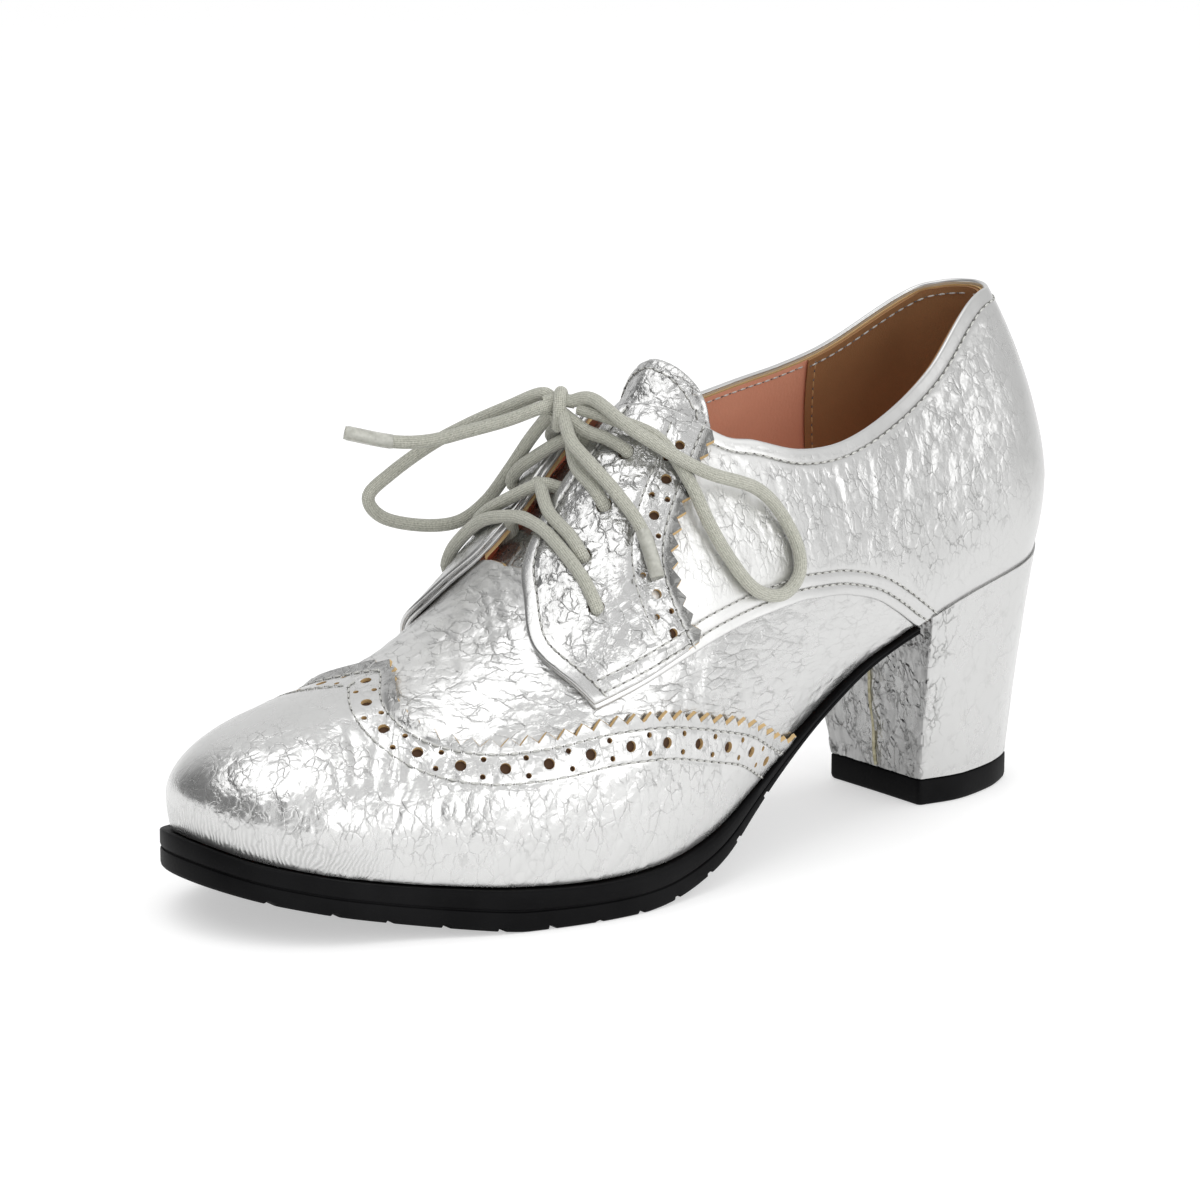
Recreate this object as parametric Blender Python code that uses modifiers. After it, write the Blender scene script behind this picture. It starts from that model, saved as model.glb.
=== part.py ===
"""Left block heel derby shoe with a wing cap, four pairs of lace holes and a tied round lace.

Every curved piece is read from one last: stations run round the foot, and each has a profile
from the feather edge at the sole up to the ridge. Tables are in millimetres, the model in metres.
"""
import math
from collections import namedtuple
from functools import lru_cache

import bmesh
import bpy
import numpy as np
from mathutils import Vector

MM = 0.001

# Driving sizes
LAST_LENGTH = 237.0     # back of the heel to the tip of the sole
BALL_WIDTH = 83.0       # sole across the joints
HEEL_SEAT = 61.8        # floor to the back of the heel seat
INSTEP = 105.5          # floor to the ridge above the upper lace holes
CENTRE = (118.76, 4.59)  # origin, measured from the back of the heel on the heel's centre line

# Walls and gaps
VAMP_WALL = 1.6
QUARTER_WALL = 2.2
QUARTER_DEPTH = -0.6    # quarter's face below the last's outline, which the overlays fill
VAMP_DEPTH = -1.3
FACING_RISE = 0.8       # how far the facings lift off the vamp
OVERLAY = 1.0           # leather of the cap and eyestays
OVERLAY_GAP = 0.65
TONGUE_WALL = 1.5
INSOLE = 2.0
GAP = 0.3

# Heel and tread
LIFT_HEIGHT = 6.0
BREAST = 2.9            # station of the heel breast
GROOVE_WIDTH = 2.4
GROOVE_DEPTH = 1.0
GROOVE_PITCH = 11.0

# Lace
LACE = 3.0
HOLE = 3.6

# The tables are drawn for these sizes, and a change of size stretches them
LONG = LAST_LENGTH / 237.0
WIDE = BALL_WIDTH / 83.0
SEAT = HEEL_SEAT / 61.8
HIGH = INSTEP / 105.5

# Side view of the sole: top face and tread face above the floor
SoleRow = namedtuple("SoleRow", "x top tread")
SOLE = [
    SoleRow(-6, 63.0, 52.0), SoleRow(0, 61.8, 51.0), SoleRow(25, 56.3, 49.0), SoleRow(40, 51.6, 47.6),
    SoleRow(50, 47.8, 45.6), SoleRow(60, 43.9, 42.4), SoleRow(70, 40.0, 38.2), SoleRow(80, 35.0, 32.8),
    SoleRow(90, 29.7, 27.0), SoleRow(100, 24.4, 20.7), SoleRow(110, 19.3, 14.0), SoleRow(120, 14.7, 7.4),
    SoleRow(130, 11.3, 3.2), SoleRow(140, 9.4, 0.8), SoleRow(148, 8.9, 0.0), SoleRow(178, 9.5, 0.0),
    SoleRow(190, 10.7, 1.6), SoleRow(200, 11.9, 3.2), SoleRow(210, 13.7, 5.2), SoleRow(220, 15.9, 7.5),
    SoleRow(230, 18.6, 10.0), SoleRow(237, 21.6, 12.2), SoleRow(245, 25.0, 15.5),
]

# Ridge of the last: where the two sides meet on top
RidgeRow = namedtuple("RidgeRow", "x y crown")
RIDGE = [
    RidgeRow(28, 0.0, 136), RidgeRow(60, 0.5, 125), RidgeRow(85, 1.5, 119), RidgeRow(105, 2.6, 114.5),
    RidgeRow(115, 3.0, 111.5), RidgeRow(125, 3.5, 105.5), RidgeRow(135, 3.5, 95.5), RidgeRow(150, 3.3, 78),
    RidgeRow(165, 2.5, 63), RidgeRow(175, 1.5, 56), RidgeRow(185, 0.5, 51.5), RidgeRow(205, -2.5, 46),
]

# Stations from the heel back to the toe tip. Reach is from the ridge out to the feather edge, bulge and
# rise lead to the widest point, full is the roundness above it, ledge is the sole beyond the upper
Station = namedtuple("Station", "spine fan lateral medial bulge rise full ledge")
STATIONS = [
    Station(28, 180, 24.8, 24.8, 2.7, 17, 1.46, 0.0),
    Station(28, 135, 25.2, 25.2, 2.4, 17, 1.46, 0.0),
    Station(28, 90, 26.0, 25.6, 2.2, 18, 1.52, 0.0),
    Station(52, 90, 25.2, 24.7, 3.0, 20, 1.65, -0.2),
    Station(77, 90, 26.0, 23.5, 4.5, 22, 1.75, 0.2),
    Station(102, 90, 30.0, 25.0, 5.0, 21, 1.85, 0.8),
    Station(127, 90, 36.6, 30.6, 3.5, 18, 1.93, 1.8),
    Station(152, 90, 41.0, 37.4, 2.2, 15, 2.00, 2.0),
    Station(179, 90, 38.8, 36.4, 1.6, 12, 2.00, 2.0),
    Station(205, 90, 31.5, 29.6, 1.2, 10, 1.90, 2.0),
    Station(205, 60, 28.6, 28.6, 1.0, 9, 1.80, 2.2),
    Station(205, 30, 28.4, 28.8, 0.9, 8, 1.75, 2.4),
    Station(205, 0, 28.8, 28.8, 0.8, 8, 1.75, 2.6),
]
TIP = len(STATIONS) - 1
TOE_FAN = 9             # station where the toe's stations start to fan out

# Panel edges as (station, share of the girth)
Edge = namedtuple("Edge", "station girth")
TOPLINE_LATERAL = [Edge(0, 0.765), Edge(1, 0.764), Edge(2, 0.752), Edge(2.75, 0.642), Edge(3.4, 0.597),
                   Edge(3.95, 0.593), Edge(4.5, 0.634), Edge(5.0, 0.705), Edge(5.42, 0.768), Edge(5.98, 0.962)]
TOPLINE_MEDIAL = [Edge(0, 0.765), Edge(1, 0.755), Edge(2, 0.712), Edge(2.75, 0.672), Edge(3.4, 0.680),
                  Edge(3.95, 0.700), Edge(4.5, 0.718), Edge(5.0, 0.745), Edge(5.42, 0.785), Edge(5.98, 0.930)]
ARCH_LINE = [Edge(0, 0), Edge(1, 0), Edge(2, 0), Edge(2.88, 0), Edge(3.4, 0.10),
             Edge(4.0, 0.245), Edge(4.6, 0.33), Edge(5.4, 0.39), Edge(6.27, 0.425), Edge(7.23, 0.455)]
FACING_LATERAL = [Edge(7.23, 0.455), Edge(7.44, 0.67), Edge(7.26, 0.835), Edge(7.10, 0.912),
                  Edge(6.80, 0.955), Edge(6.40, 0.960), Edge(5.98, 0.962)]
FACING_MEDIAL = [Edge(7.23, 0.455), Edge(7.43, 0.665), Edge(7.27, 0.79), Edge(7.10, 0.875),
                 Edge(6.80, 0.915), Edge(6.40, 0.925), Edge(5.98, 0.930)]
EYESTAY_REAR = [Edge(6.10, 0.445), Edge(6.21, 0.50), Edge(6.24, 0.575), Edge(6.18, 0.63),
                Edge(5.98, 0.68), Edge(5.70, 0.725), Edge(5.42, 0.765)]
VAMP_EDGE = [Edge(2.75, 0.12), Edge(3.0, 0.14), Edge(3.4, 0.24), Edge(4.0, 0.35), Edge(4.6, 0.42),
             Edge(5.4, 0.47), Edge(6.2, 0.51), Edge(6.85, 0.55), Edge(7.04, 0.60), Edge(7.10, 0.80),
             Edge(7.16, 1.0)]

# Wing cap: each station along the sole with the point of the pinked edge that stands above it
WingRow = namedtuple("WingRow", "foot station girth")
WING = [
    WingRow(12.0, 12.0, 1.0), WingRow(11.25, 11.25, 1.0), WingRow(10.55, 10.4, 1.0), WingRow(10.2, 9.5, 1.0),
    WingRow(9.95, 8.95, 1.0), WingRow(9.75, 8.55, 1.0), WingRow(9.6, 8.20, 1.0), WingRow(9.0, 8.42, 0.775),
    WingRow(8.5, 8.43, 0.57), WingRow(8.1, 8.15, 0.47), WingRow(7.6, 7.63, 0.435), WingRow(7.2, 7.3, 0.425),
    WingRow(6.9, 7.0, 0.395), WingRow(6.4, 6.5, 0.335), WingRow(5.9, 6.0, 0.26), WingRow(5.3, 5.45, 0.17),
    WingRow(4.75, 4.95, 0.06),
]

# Lace holes from the throat up, the same on both sides
HOLES = [Edge(6.96, 0.66), Edge(6.85, 0.78), Edge(6.54, 0.825), Edge(6.20, 0.868)]

# Heel's foot on the lift: the outline at the same stations as the heel seat
FootRow = namedtuple("FootRow", "station x half")
HEEL_FOOT = [FootRow(0, 6.5, 0.0), FootRow(0.5, 8.6, 6.8), FootRow(1, 14.0, 11.2),
             FootRow(1.5, 21.5, 14.8), FootRow(2.2, 33.0, 17.6), FootRow(BREAST, 44.5, 16.4)]

# Lace routes: over the lateral side as (station, girth, lift), in the air as points from the heel's back
Over = namedtuple("Over", "station girth lift")
Route = namedtuple("Route", "x y z")
KNOT = Route(139.0, 1.2, 104.8)
KNOT_SIZE = (9.0, 7.5, 8.0)
LOOP_LATERAL = [Over(6.12, 0.955, 8.6), Over(6.10, 0.85, 7.6), Over(5.82, 0.715, 6.2), Over(5.25, 0.615, 4.8),
                Over(4.90, 0.495, 3.8), Over(4.85, 0.41, 3.4), Over(5.10, 0.39, 3.4), Over(5.45, 0.44, 3.6),
                Over(5.70, 0.53, 3.8), Over(5.85, 0.62, 3.9), Over(5.92, 0.72, 3.9), Over(5.98, 0.82, 4.0),
                Over(6.12, 0.91, 4.9)]
END_LATERAL = [Over(6.40, 0.945, 7.6), Over(6.44, 0.88, 7.2), Over(6.44, 0.80, 5.6), Over(6.42, 0.71, 4.0),
               Over(6.46, 0.61, 3.8)]
LOOP_MEDIAL = [Route(140.6, -3.6, 106.2), Route(144.2, -11, 102.6), Route(149, -19, 98.2), Route(155, -26, 93),
               Route(162.5, -31, 86.5), Route(167.2, -33, 81.5), Route(163.5, -33, 76.8), Route(154, -30, 75),
               Route(146, -24.5, 79.5), Route(142.8, -17, 89), Route(141, -9.5, 97), Route(139.4, -4.2, 101)]
END_MEDIAL = [Route(143.3, -0.9, 103.5), Route(147.8, -6.5, 100.6), Route(153.2, -13.5, 97.8),
              Route(159, -20.5, 95.2), Route(165, -26.5, 94.8), Route(174, -32, 97)]


# Last: one function that gives every curved piece its shape


def smooth(rows, place):
    """Smooth curve through rows, one for each whole number, read at place."""
    rows = np.asarray(rows, float)
    low = int(min(max(math.floor(place), 0), len(rows) - 2))
    part = place - low
    here, there = rows[low], rows[low + 1]
    before = rows[low - 1] if low > 0 else 2 * here - there
    after = rows[low + 2] if low + 2 < len(rows) else 2 * there - here
    bend = 2 * before - 5 * here + 4 * there - after
    twist = 3 * here - before - 3 * there + after
    return here + 0.5 * ((there - before) * part + bend * part ** 2 + twist * part ** 3)


def along(rows, column, x):
    """Smooth value of a named column of a side-view table at x."""
    xs = np.array([row.x for row in rows], float)
    ys = np.array([getattr(row, column) for row in rows], float)
    slopes = np.gradient(ys, xs)
    low = int(np.clip(np.searchsorted(xs, x) - 1, 0, len(xs) - 2))
    width = xs[low + 1] - xs[low]
    part = (x - xs[low]) / width
    rise = 3 * part ** 2 - 2 * part ** 3
    lead = slopes[low] * (part ** 3 - 2 * part ** 2 + part)
    trail = slopes[low + 1] * (part ** 3 - part ** 2)
    return ys[low] * (1 - rise) + ys[low + 1] * rise + width * (lead + trail)


def sole_top(x):
    return SEAT * along(SOLE, "top", x / LONG)


def sole_tread(x):
    return max(0.0, SEAT * along(SOLE, "tread", x / LONG))


def ridge(x):
    """Point of the ridge above x."""
    return np.array([x, WIDE * along(RIDGE, "y", x / LONG), HIGH * along(RIDGE, "crown", x / LONG)])


def fold(turn):
    """Station and side for a turn round the foot: lateral from 0 to TIP, medial on to twice TIP."""
    turn = turn % (2 * TIP)
    return (turn, 1) if turn <= TIP else (2 * TIP - turn, -1)


@lru_cache(maxsize=None)
def station_at(turn):
    """Smooth station values at a turn, running on round the heel and the toe."""
    station, side = fold(turn)
    rows = []
    for number in range(-1, TIP + 2):
        own = side if 0 <= number <= TIP else -side
        row = STATIONS[-number if number < 0 else min(number, 2 * TIP - number)]
        fan = 360 - row.fan if number < 0 else row.fan * (1 if number <= TIP else -1)
        reach = row.lateral if own > 0 else row.medial
        rows.append((row.spine * LONG, fan, reach * WIDE, row.bulge, row.rise, row.full, row.ledge))
    spine, fan, reach, bulge, rise, full, ledge = smooth(rows, station + 1)
    spine = min(spine, STATIONS[TIP].spine * LONG)
    way = math.radians(fan)
    heading = np.array([math.cos(way), side * math.sin(way)])
    return spine, heading, reach, bulge, rise, full, ledge


@lru_cache(maxsize=None)
def profile(turn, steps=120):
    """Profile from the feather edge to the ridge: points and the share of the girth at each."""
    spine, heading, reach, bulge, rise, full, _ = station_at(turn)
    top = ridge(spine)
    foot = sole_top(spine + heading[0] * reach)
    low = np.linspace(0, 1, steps // 4, endpoint=False)
    out_low = reach + bulge * (1 - (1 - low) ** 2)
    up_low = foot + rise * low
    swing = np.linspace(0, math.pi / 2, steps)
    widest = reach + bulge
    out = widest * np.maximum(np.cos(swing), 0) ** (2 / full)
    out[-1] = 0
    up = foot + rise + (top[2] - foot - rise) * np.sin(swing) ** (2 / full)
    if spine > STATIONS[TOE_FAN - 2].spine * LONG:
        slope = (top[2] - ridge(spine - 2)[2]) / 2
        up = up + slope * max(heading[0], 0) * out * (1 - out / widest) ** 1.5
    out, up = np.concatenate([out_low, out]), np.concatenate([up_low, up])
    points = np.stack([top[0] + heading[0] * out, top[1] + heading[1] * out, up], axis=1)
    run = np.concatenate([[0], np.cumsum(np.linalg.norm(np.diff(points, axis=0), axis=1))])
    return points, run / run[-1]


def on_last(turn, girth):
    points, shares = profile(round(turn % (2 * TIP), 6))
    return np.array([np.interp(girth, shares, points[:, axis]) for axis in range(3)])


def outward(turn, girth):
    """Unit normal of the last, turned to the ridge's own normal close to the ridge."""
    near = min(max(girth, 0.01), 0.97)
    across = on_last(turn, near + 0.012) - on_last(turn, near - 0.01)
    onward = on_last(turn + 0.02, near) - on_last(turn - 0.02, near)
    normal = np.cross(across, onward)
    normal /= np.linalg.norm(normal)
    if girth > near:
        spine = station_at(round(turn % (2 * TIP), 6))[0]
        slope = (ridge(spine)[2] - ridge(spine - 2)[2]) / 2
        crest = np.array([-slope, 0, 1]) / math.hypot(slope, 1)
        share = (girth - near) / (1 - near)
        normal = normal * (1 - share) + crest * share
        normal /= np.linalg.norm(normal)
    return normal


def skin(turn, girth, lift=0.0):
    """Point of the last, lifted outward."""
    point = on_last(turn, girth)
    return point + lift * outward(turn, girth) if lift else point


def trail(edges, share):
    """Point (station, girth) along an edge from its first row to its last."""
    return smooth([tuple(edge) for edge in edges], share * (len(edges) - 1))


def ramp(low, high, value):
    part = min(max((value - low) / (high - low), 0), 1)
    return part * part * (3 - 2 * part)


def quarter_lift(station):
    """The facings rise off the vamp towards the throat."""
    return QUARTER_DEPTH + FACING_RISE * ramp(5.2, 7.0, station)


# Meshes


def place(point):
    """Millimetres from the heel's back to metres from the origin."""
    return Vector(((point[0] - CENTRE[0]) * MM, (point[1] - CENTRE[1]) * MM, point[2] * MM))


def material(name, colour, roughness, metallic):
    made = bpy.data.materials.new(name)
    made.use_nodes = True
    shader = made.node_tree.nodes["Principled BSDF"]
    shader.inputs["Base Color"].default_value = (*colour, 1)
    shader.inputs["Roughness"].default_value = roughness
    shader.inputs["Metallic"].default_value = metallic
    return made


def collection(name):
    made = bpy.data.collections.new(name)
    bpy.context.scene.collection.children.link(made)
    return made


def keep(name, mesh, group, look):
    """Object for a mesh, in its collection and with its material."""
    for face in mesh.polygons:
        face.use_smooth = True
    made = bpy.data.objects.new(name, mesh)
    made.data.materials.append(look)
    group.objects.link(made)
    if group.name == "cutters":
        made.hide_render = True
        made.display_type = "WIRE"
    return made


def surface(name, grid, group, look):
    """Open surface through a grid of points: columns go round the foot, rows go up it."""
    form = bmesh.new()
    rows = [[form.verts.new(place(point)) for point in column] for column in grid]
    for left, right in zip(rows, rows[1:]):
        for low in range(len(left) - 1):
            form.faces.new((left[low], left[low + 1], right[low + 1], right[low]))
    bmesh.ops.remove_doubles(form, verts=form.verts, dist=0.02 * MM)
    mesh = bpy.data.meshes.new(name)
    form.to_mesh(mesh)
    form.free()
    return keep(name, mesh, group, look)


def thicken(body, wall):
    """Give an open surface its wall, inward, in flat faces."""
    solid = body.modifiers.new("wall", "SOLIDIFY")
    solid.thickness = wall * MM
    solid.offset = -1
    body.modifiers.new("flat", "TRIANGULATE")
    return body


def combine(body, other, operation):
    step = body.modifiers.new(operation.lower(), "BOOLEAN")
    step.object = other
    step.operation = operation
    step.solver = "EXACT"


def plank(name, rings, group, look):
    """Solid between outlines: each ring is a lateral and a medial row of points from heel to toe."""
    form = bmesh.new()
    loops = []
    for lateral, medial in rings:
        left = [form.verts.new(place(point)) for point in lateral]
        right = [form.verts.new(place(point)) for point in medial]
        loops.append((left, right))
    for (left, right), turned in ((loops[0], False), (loops[-1], True)):
        for low in range(len(left) - 1):
            corners = [left[low], right[low], right[low + 1], left[low + 1]]
            form.faces.new(corners[::-1] if turned else corners)
    for (left, right), (left_low, right_low) in zip(loops, loops[1:]):
        round_top = left + right[::-1]
        round_low = left_low + right_low[::-1]
        for here in range(len(round_top)):
            there = (here + 1) % len(round_top)
            form.faces.new((round_top[here], round_top[there], round_low[there], round_low[here]))
    bmesh.ops.remove_doubles(form, verts=form.verts, dist=0.02 * MM)
    bmesh.ops.recalc_face_normals(form, faces=form.faces)
    mesh = bpy.data.meshes.new(name)
    form.to_mesh(mesh)
    form.free()
    return keep(name, mesh, group, look)


def cord(name, route, diameter, points, group, look):
    """Round cord along a smooth curve through the route's points."""
    line = bpy.data.curves.new(name, "CURVE")
    line.dimensions = "3D"
    line.bevel_depth = diameter / 2 * MM
    line.bevel_resolution = 1
    line.use_fill_caps = True
    spline = line.splines.new("POLY")
    spline.points.add(points - 1)
    for number, knot in enumerate(spline.points):
        rows = [skin(*row) if isinstance(row, Over) else tuple(row) for row in route]
        where = smooth(rows, number / (points - 1) * (len(route) - 1))
        knot.co = (*place(where), 1)
    made = bpy.data.objects.new(name, line)
    made.data.materials.append(look)
    group.objects.link(made)
    return made


def as_mesh(body, group):
    """Turn a cord into a welded mesh object, so that it can be joined to others."""
    bpy.context.view_layer.update()
    seen = body.evaluated_get(bpy.context.evaluated_depsgraph_get())
    mesh = bpy.data.meshes.new_from_object(seen)
    form = bmesh.new()
    form.from_mesh(mesh)
    bmesh.ops.remove_doubles(form, verts=form.verts, dist=0.01 * MM)
    form.to_mesh(mesh)
    form.free()
    name = body.name
    look = body.data.materials[0]
    bpy.data.objects.remove(body)
    mesh.materials.clear()
    return keep(name, mesh, group, look)


# Pieces


def vamp_turns():
    """Turns of the vamp's columns from its lateral rear end round the toe."""
    rear = [2.75, 3.0, 3.4, 3.8, 4.2, 4.6, 5.0, 5.4, 5.8, 6.2, 6.6, 6.85, 7.04, 7.10, 7.16]
    toe = [7.4, 7.7, 8.0, 8.3, 8.6, 8.85, 9.1, 9.4, 9.75, 10.125, 10.5, 10.875, 11.25, 11.625]
    half = rear + toe
    return half + [TIP] + [2 * TIP - turn for turn in reversed(half)]


def vamp_top(station):
    """Share of the girth where the vamp ends under the facing."""
    if station >= VAMP_EDGE[-1].station:
        return 1.0
    stations = [edge.station for edge in VAMP_EDGE]
    return float(np.interp(station, stations, [edge.girth for edge in VAMP_EDGE]))


def vamp_grid(rows=9):
    grid = []
    for turn in vamp_turns():
        top = vamp_top(fold(turn)[0])
        grid.append([skin(turn, top * row / (rows - 1), VAMP_DEPTH) for row in range(rows)])
    return grid


def quarter_point(side, onward, up):
    """Point (station, girth) of a quarter: onward from the heel to the throat, up from sole to topline."""
    topline = TOPLINE_LATERAL if side > 0 else TOPLINE_MEDIAL
    facing = FACING_LATERAL if side > 0 else FACING_MEDIAL
    flat = trail(ARCH_LINE, onward) * (1 - up) + trail(topline, onward) * up
    straight = np.array(facing[0]) * (1 - up) + np.array(facing[-1]) * up
    bulge = trail(facing, up) - straight
    return flat + bulge * max(0.0, (onward - 0.3) / 0.7) ** 2.2


def quarter_grid(columns=19, rows=9):
    grid = []
    for number in range(-columns, columns + 1):
        side = 1 if number >= 0 else -1
        onward = abs(number) / columns
        column = []
        for row in range(rows):
            station, girth = quarter_point(side, onward, row / (rows - 1))
            column.append(skin(side * station, girth, quarter_lift(station)))
        grid.append(column)
    return grid


def wing_grid(columns=23, rows=9):
    grid = []
    for number in range(-columns, columns + 1):
        side = 1 if number < 0 else -1
        share = abs(number) / columns * (len(WING) - 1)
        foot, station, girth = smooth([tuple(row) for row in WING], share)
        girth = min(girth, 1.0)
        column = []
        for row in range(rows):
            up = row / (rows - 1)
            at = foot * (1 - up) + station * up
            share_up = 0.02 * (1 - up) + girth * up
            column.append(skin(side * min(at, TIP), share_up, VAMP_DEPTH + OVERLAY_GAP + OVERLAY))
        grid.append(column)
    return grid


def eyestay_grid(side, columns=8, rows=12):
    """Facing between its pinked rear edge and the throat, kept just inside the quarter's own edges."""
    facing = FACING_LATERAL if side > 0 else FACING_MEDIAL
    grid = []
    for number in range(columns):
        across = number / (columns - 1)
        column = []
        for row in range(rows):
            up = 0.02 + 0.96 * row / (rows - 1)
            station, girth = trail(EYESTAY_REAR, up) * (1 - across) + trail(facing, up) * across
            lift = quarter_lift(station) + OVERLAY_GAP + OVERLAY
            column.append(skin(side * station, girth, lift))
        grid.append(column)
    return grid if side > 0 else grid[::-1]


def tongue_grid(columns=11, rows=11):
    """Tongue from under the vamp up past the facings, spread over the ridge to both sides."""
    grid = []
    for number in range(columns):
        across = 2 * number / (columns - 1) - 1
        column = []
        for row in range(rows):
            up = row / (rows - 1)
            station = 7.5 - (2.15 - 0.1 * across) * up + 0.1 * up ** 4 * across ** 6
            spread = (0.16 + 0.055 * up) * abs(across)
            lift = -4.0 + 5.0 * ramp(0.75 + 0.27 * abs(across), 1.08, up)
            side = 1 if across <= 0 else -1
            column.append(skin(side * station, 1 - spread, lift))
        grid.append(column[::-1])
    return grid[::-1]


def outline(turn, inset):
    """Feather edge moved inward."""
    spine, heading, reach, *_ = station_at(round(turn % (2 * TIP), 6))
    start = ridge(spine)
    return start[:2] + heading * (reach - inset)


def sole_ring(stations, share, inset):
    """Ring of the outsole at a share of its thickness below the top."""
    sides = []
    for side in (1, -1):
        ring = []
        for station in stations:
            ledge = station_at(round(side * station % (2 * TIP), 6))[6]
            x, y = outline(side * station, inset - ledge)
            top, tread = sole_top(x) - GAP, sole_tread(x)
            ring.append((x, y, top + (tread - top) * share))
        sides.append(ring)
    return sides


def outsole_rings():
    stations = [BREAST + 0.14, 3.25, 3.5, 3.8, 4.1, 4.4, 4.7, 5.0, 5.3, 5.6, 5.9, 6.2, 6.5, 6.8, 7.1, 7.5,
                7.9, 8.2, 8.5, 8.8, 9.0, 9.4, 9.8, 10.2, 10.6, 11.0, 11.4, 11.7, TIP]
    rows = ((0.0, 0.3), (0.06, 0.0), (0.42, 0.0), (0.48, 0.45), (0.54, 0.0), (0.94, 0.0), (1.0, 0.5))
    return [sole_ring(stations, share, inset) for share, inset in rows]


def insole_rings():
    stations = [0, 0.3, 0.6, 1.0, 1.5, 2.0, 2.6, 3.0, 3.5, 4.0, 4.5, 5.0, 5.5, 6.0, 6.5, 7.0,
                7.5, 8.0, 8.5, 9.0, 9.5, 10.0, 10.5, 11.0, 11.5, TIP]
    rings = []
    for height in (INSOLE + 0.1, 0.1):
        sides = []
        for side in (1, -1):
            points = [outline(side * station, VAMP_WALL - VAMP_DEPTH + 0.6) for station in stations]
            sides.append([(x, y, sole_top(x) + height) for x, y in points])
        rings.append(sides)
    return rings


def heel_rings(heights):
    """Rings of the heel from the seat (share 0) to its foot on the lift (share 1)."""
    stations = [0, 0.3, 0.6, 0.9, 1.2, 1.6, 2.0, 2.45, BREAST]
    rings = []
    for share in heights:
        sides = []
        for side in (1, -1):
            ring = []
            for station in stations:
                x, y = outline(side * station, 0.0)
                seat = np.array([x, y, sole_top(x) - GAP])
                at = np.interp(station, [row.station for row in HEEL_FOOT], range(len(HEEL_FOOT)))
                foot = smooth([(row.x, row.half) for row in HEEL_FOOT], at)
                base = np.array([foot[0] * LONG, side * foot[1] * WIDE, LIFT_HEIGHT + GAP])
                ring.append(seat * (1 - share) + base * share)
            sides.append(ring)
        rings.append(sides)
    return rings


def lift_rings():
    (lateral, medial), = heel_rings([1.0])
    rings = []
    for height, inset in ((LIFT_HEIGHT, 0.0), (0.6, 0.0), (0.0, 0.5)):
        ring = []
        for side in (lateral, medial):
            points = []
            for x, y, _ in side:
                pull = np.array([27.0 * LONG - x, -y])
                pull = pull / np.linalg.norm(pull) * inset
                points.append((x + pull[0], y + pull[1], height))
            ring.append(points)
        rings.append(ring)
    return rings


def strand(low, high, steps=6):
    """Route of one lace strand from a lateral hole over both facings to a medial hole."""
    rise = QUARTER_DEPTH + FACING_RISE + OVERLAY_GAP + OVERLAY + 0.4 + LACE / 2
    start, end = HOLES[low], HOLES[high]
    route = []
    for step in range(steps + 1):
        across = step / steps
        station = start.station * (1 - across) + end.station * across
        side, hole = (1, start) if across <= 0.5 else (-1, end)
        girth = 1 - (1 - hole.girth) * abs(1 - 2 * across)
        route.append(Route(*skin(side * station, girth, rise)))
    return route


def tread_cutter(number, x, group, look):
    """Bar across the tread, tilted to the tread's slope."""
    bpy.ops.mesh.primitive_cube_add(size=1)
    bar = bpy.context.active_object
    bar.name = f"tread_groove_{number}"
    slope = (sole_tread(x + 1) - sole_tread(x - 1)) / 2
    bar.location = place((x, CENTRE[1], sole_tread(x) + GROOVE_DEPTH - 3.0))
    bar.rotation_euler = (0, -math.atan(slope), 0)
    bar.scale = (GROOVE_WIDTH * MM, 0.12, 6.0 * MM)
    for owner in list(bar.users_collection):
        owner.objects.unlink(bar)
    bar.data.materials.append(look)
    group.objects.link(bar)
    bar.hide_render = True
    bar.display_type = "WIRE"
    return bar


def hole_cutter(number, side, group, look):
    """Round punch through a facing."""
    hole = HOLES[number]
    turn = side * hole.station
    bpy.ops.mesh.primitive_cylinder_add(vertices=12, radius=HOLE / 2 * MM, depth=14 * MM)
    punch = bpy.context.active_object
    punch.name = f"lace_hole_{'lateral' if side > 0 else 'medial'}_{number + 1}"
    punch.location = place(skin(turn, hole.girth))
    punch.rotation_euler = Vector(outward(turn, hole.girth)).to_track_quat("Z", "Y").to_euler()
    for owner in list(punch.users_collection):
        owner.objects.unlink(punch)
    punch.data.materials.append(look)
    group.objects.link(punch)
    punch.hide_render = True
    punch.display_type = "WIRE"
    return punch


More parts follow.
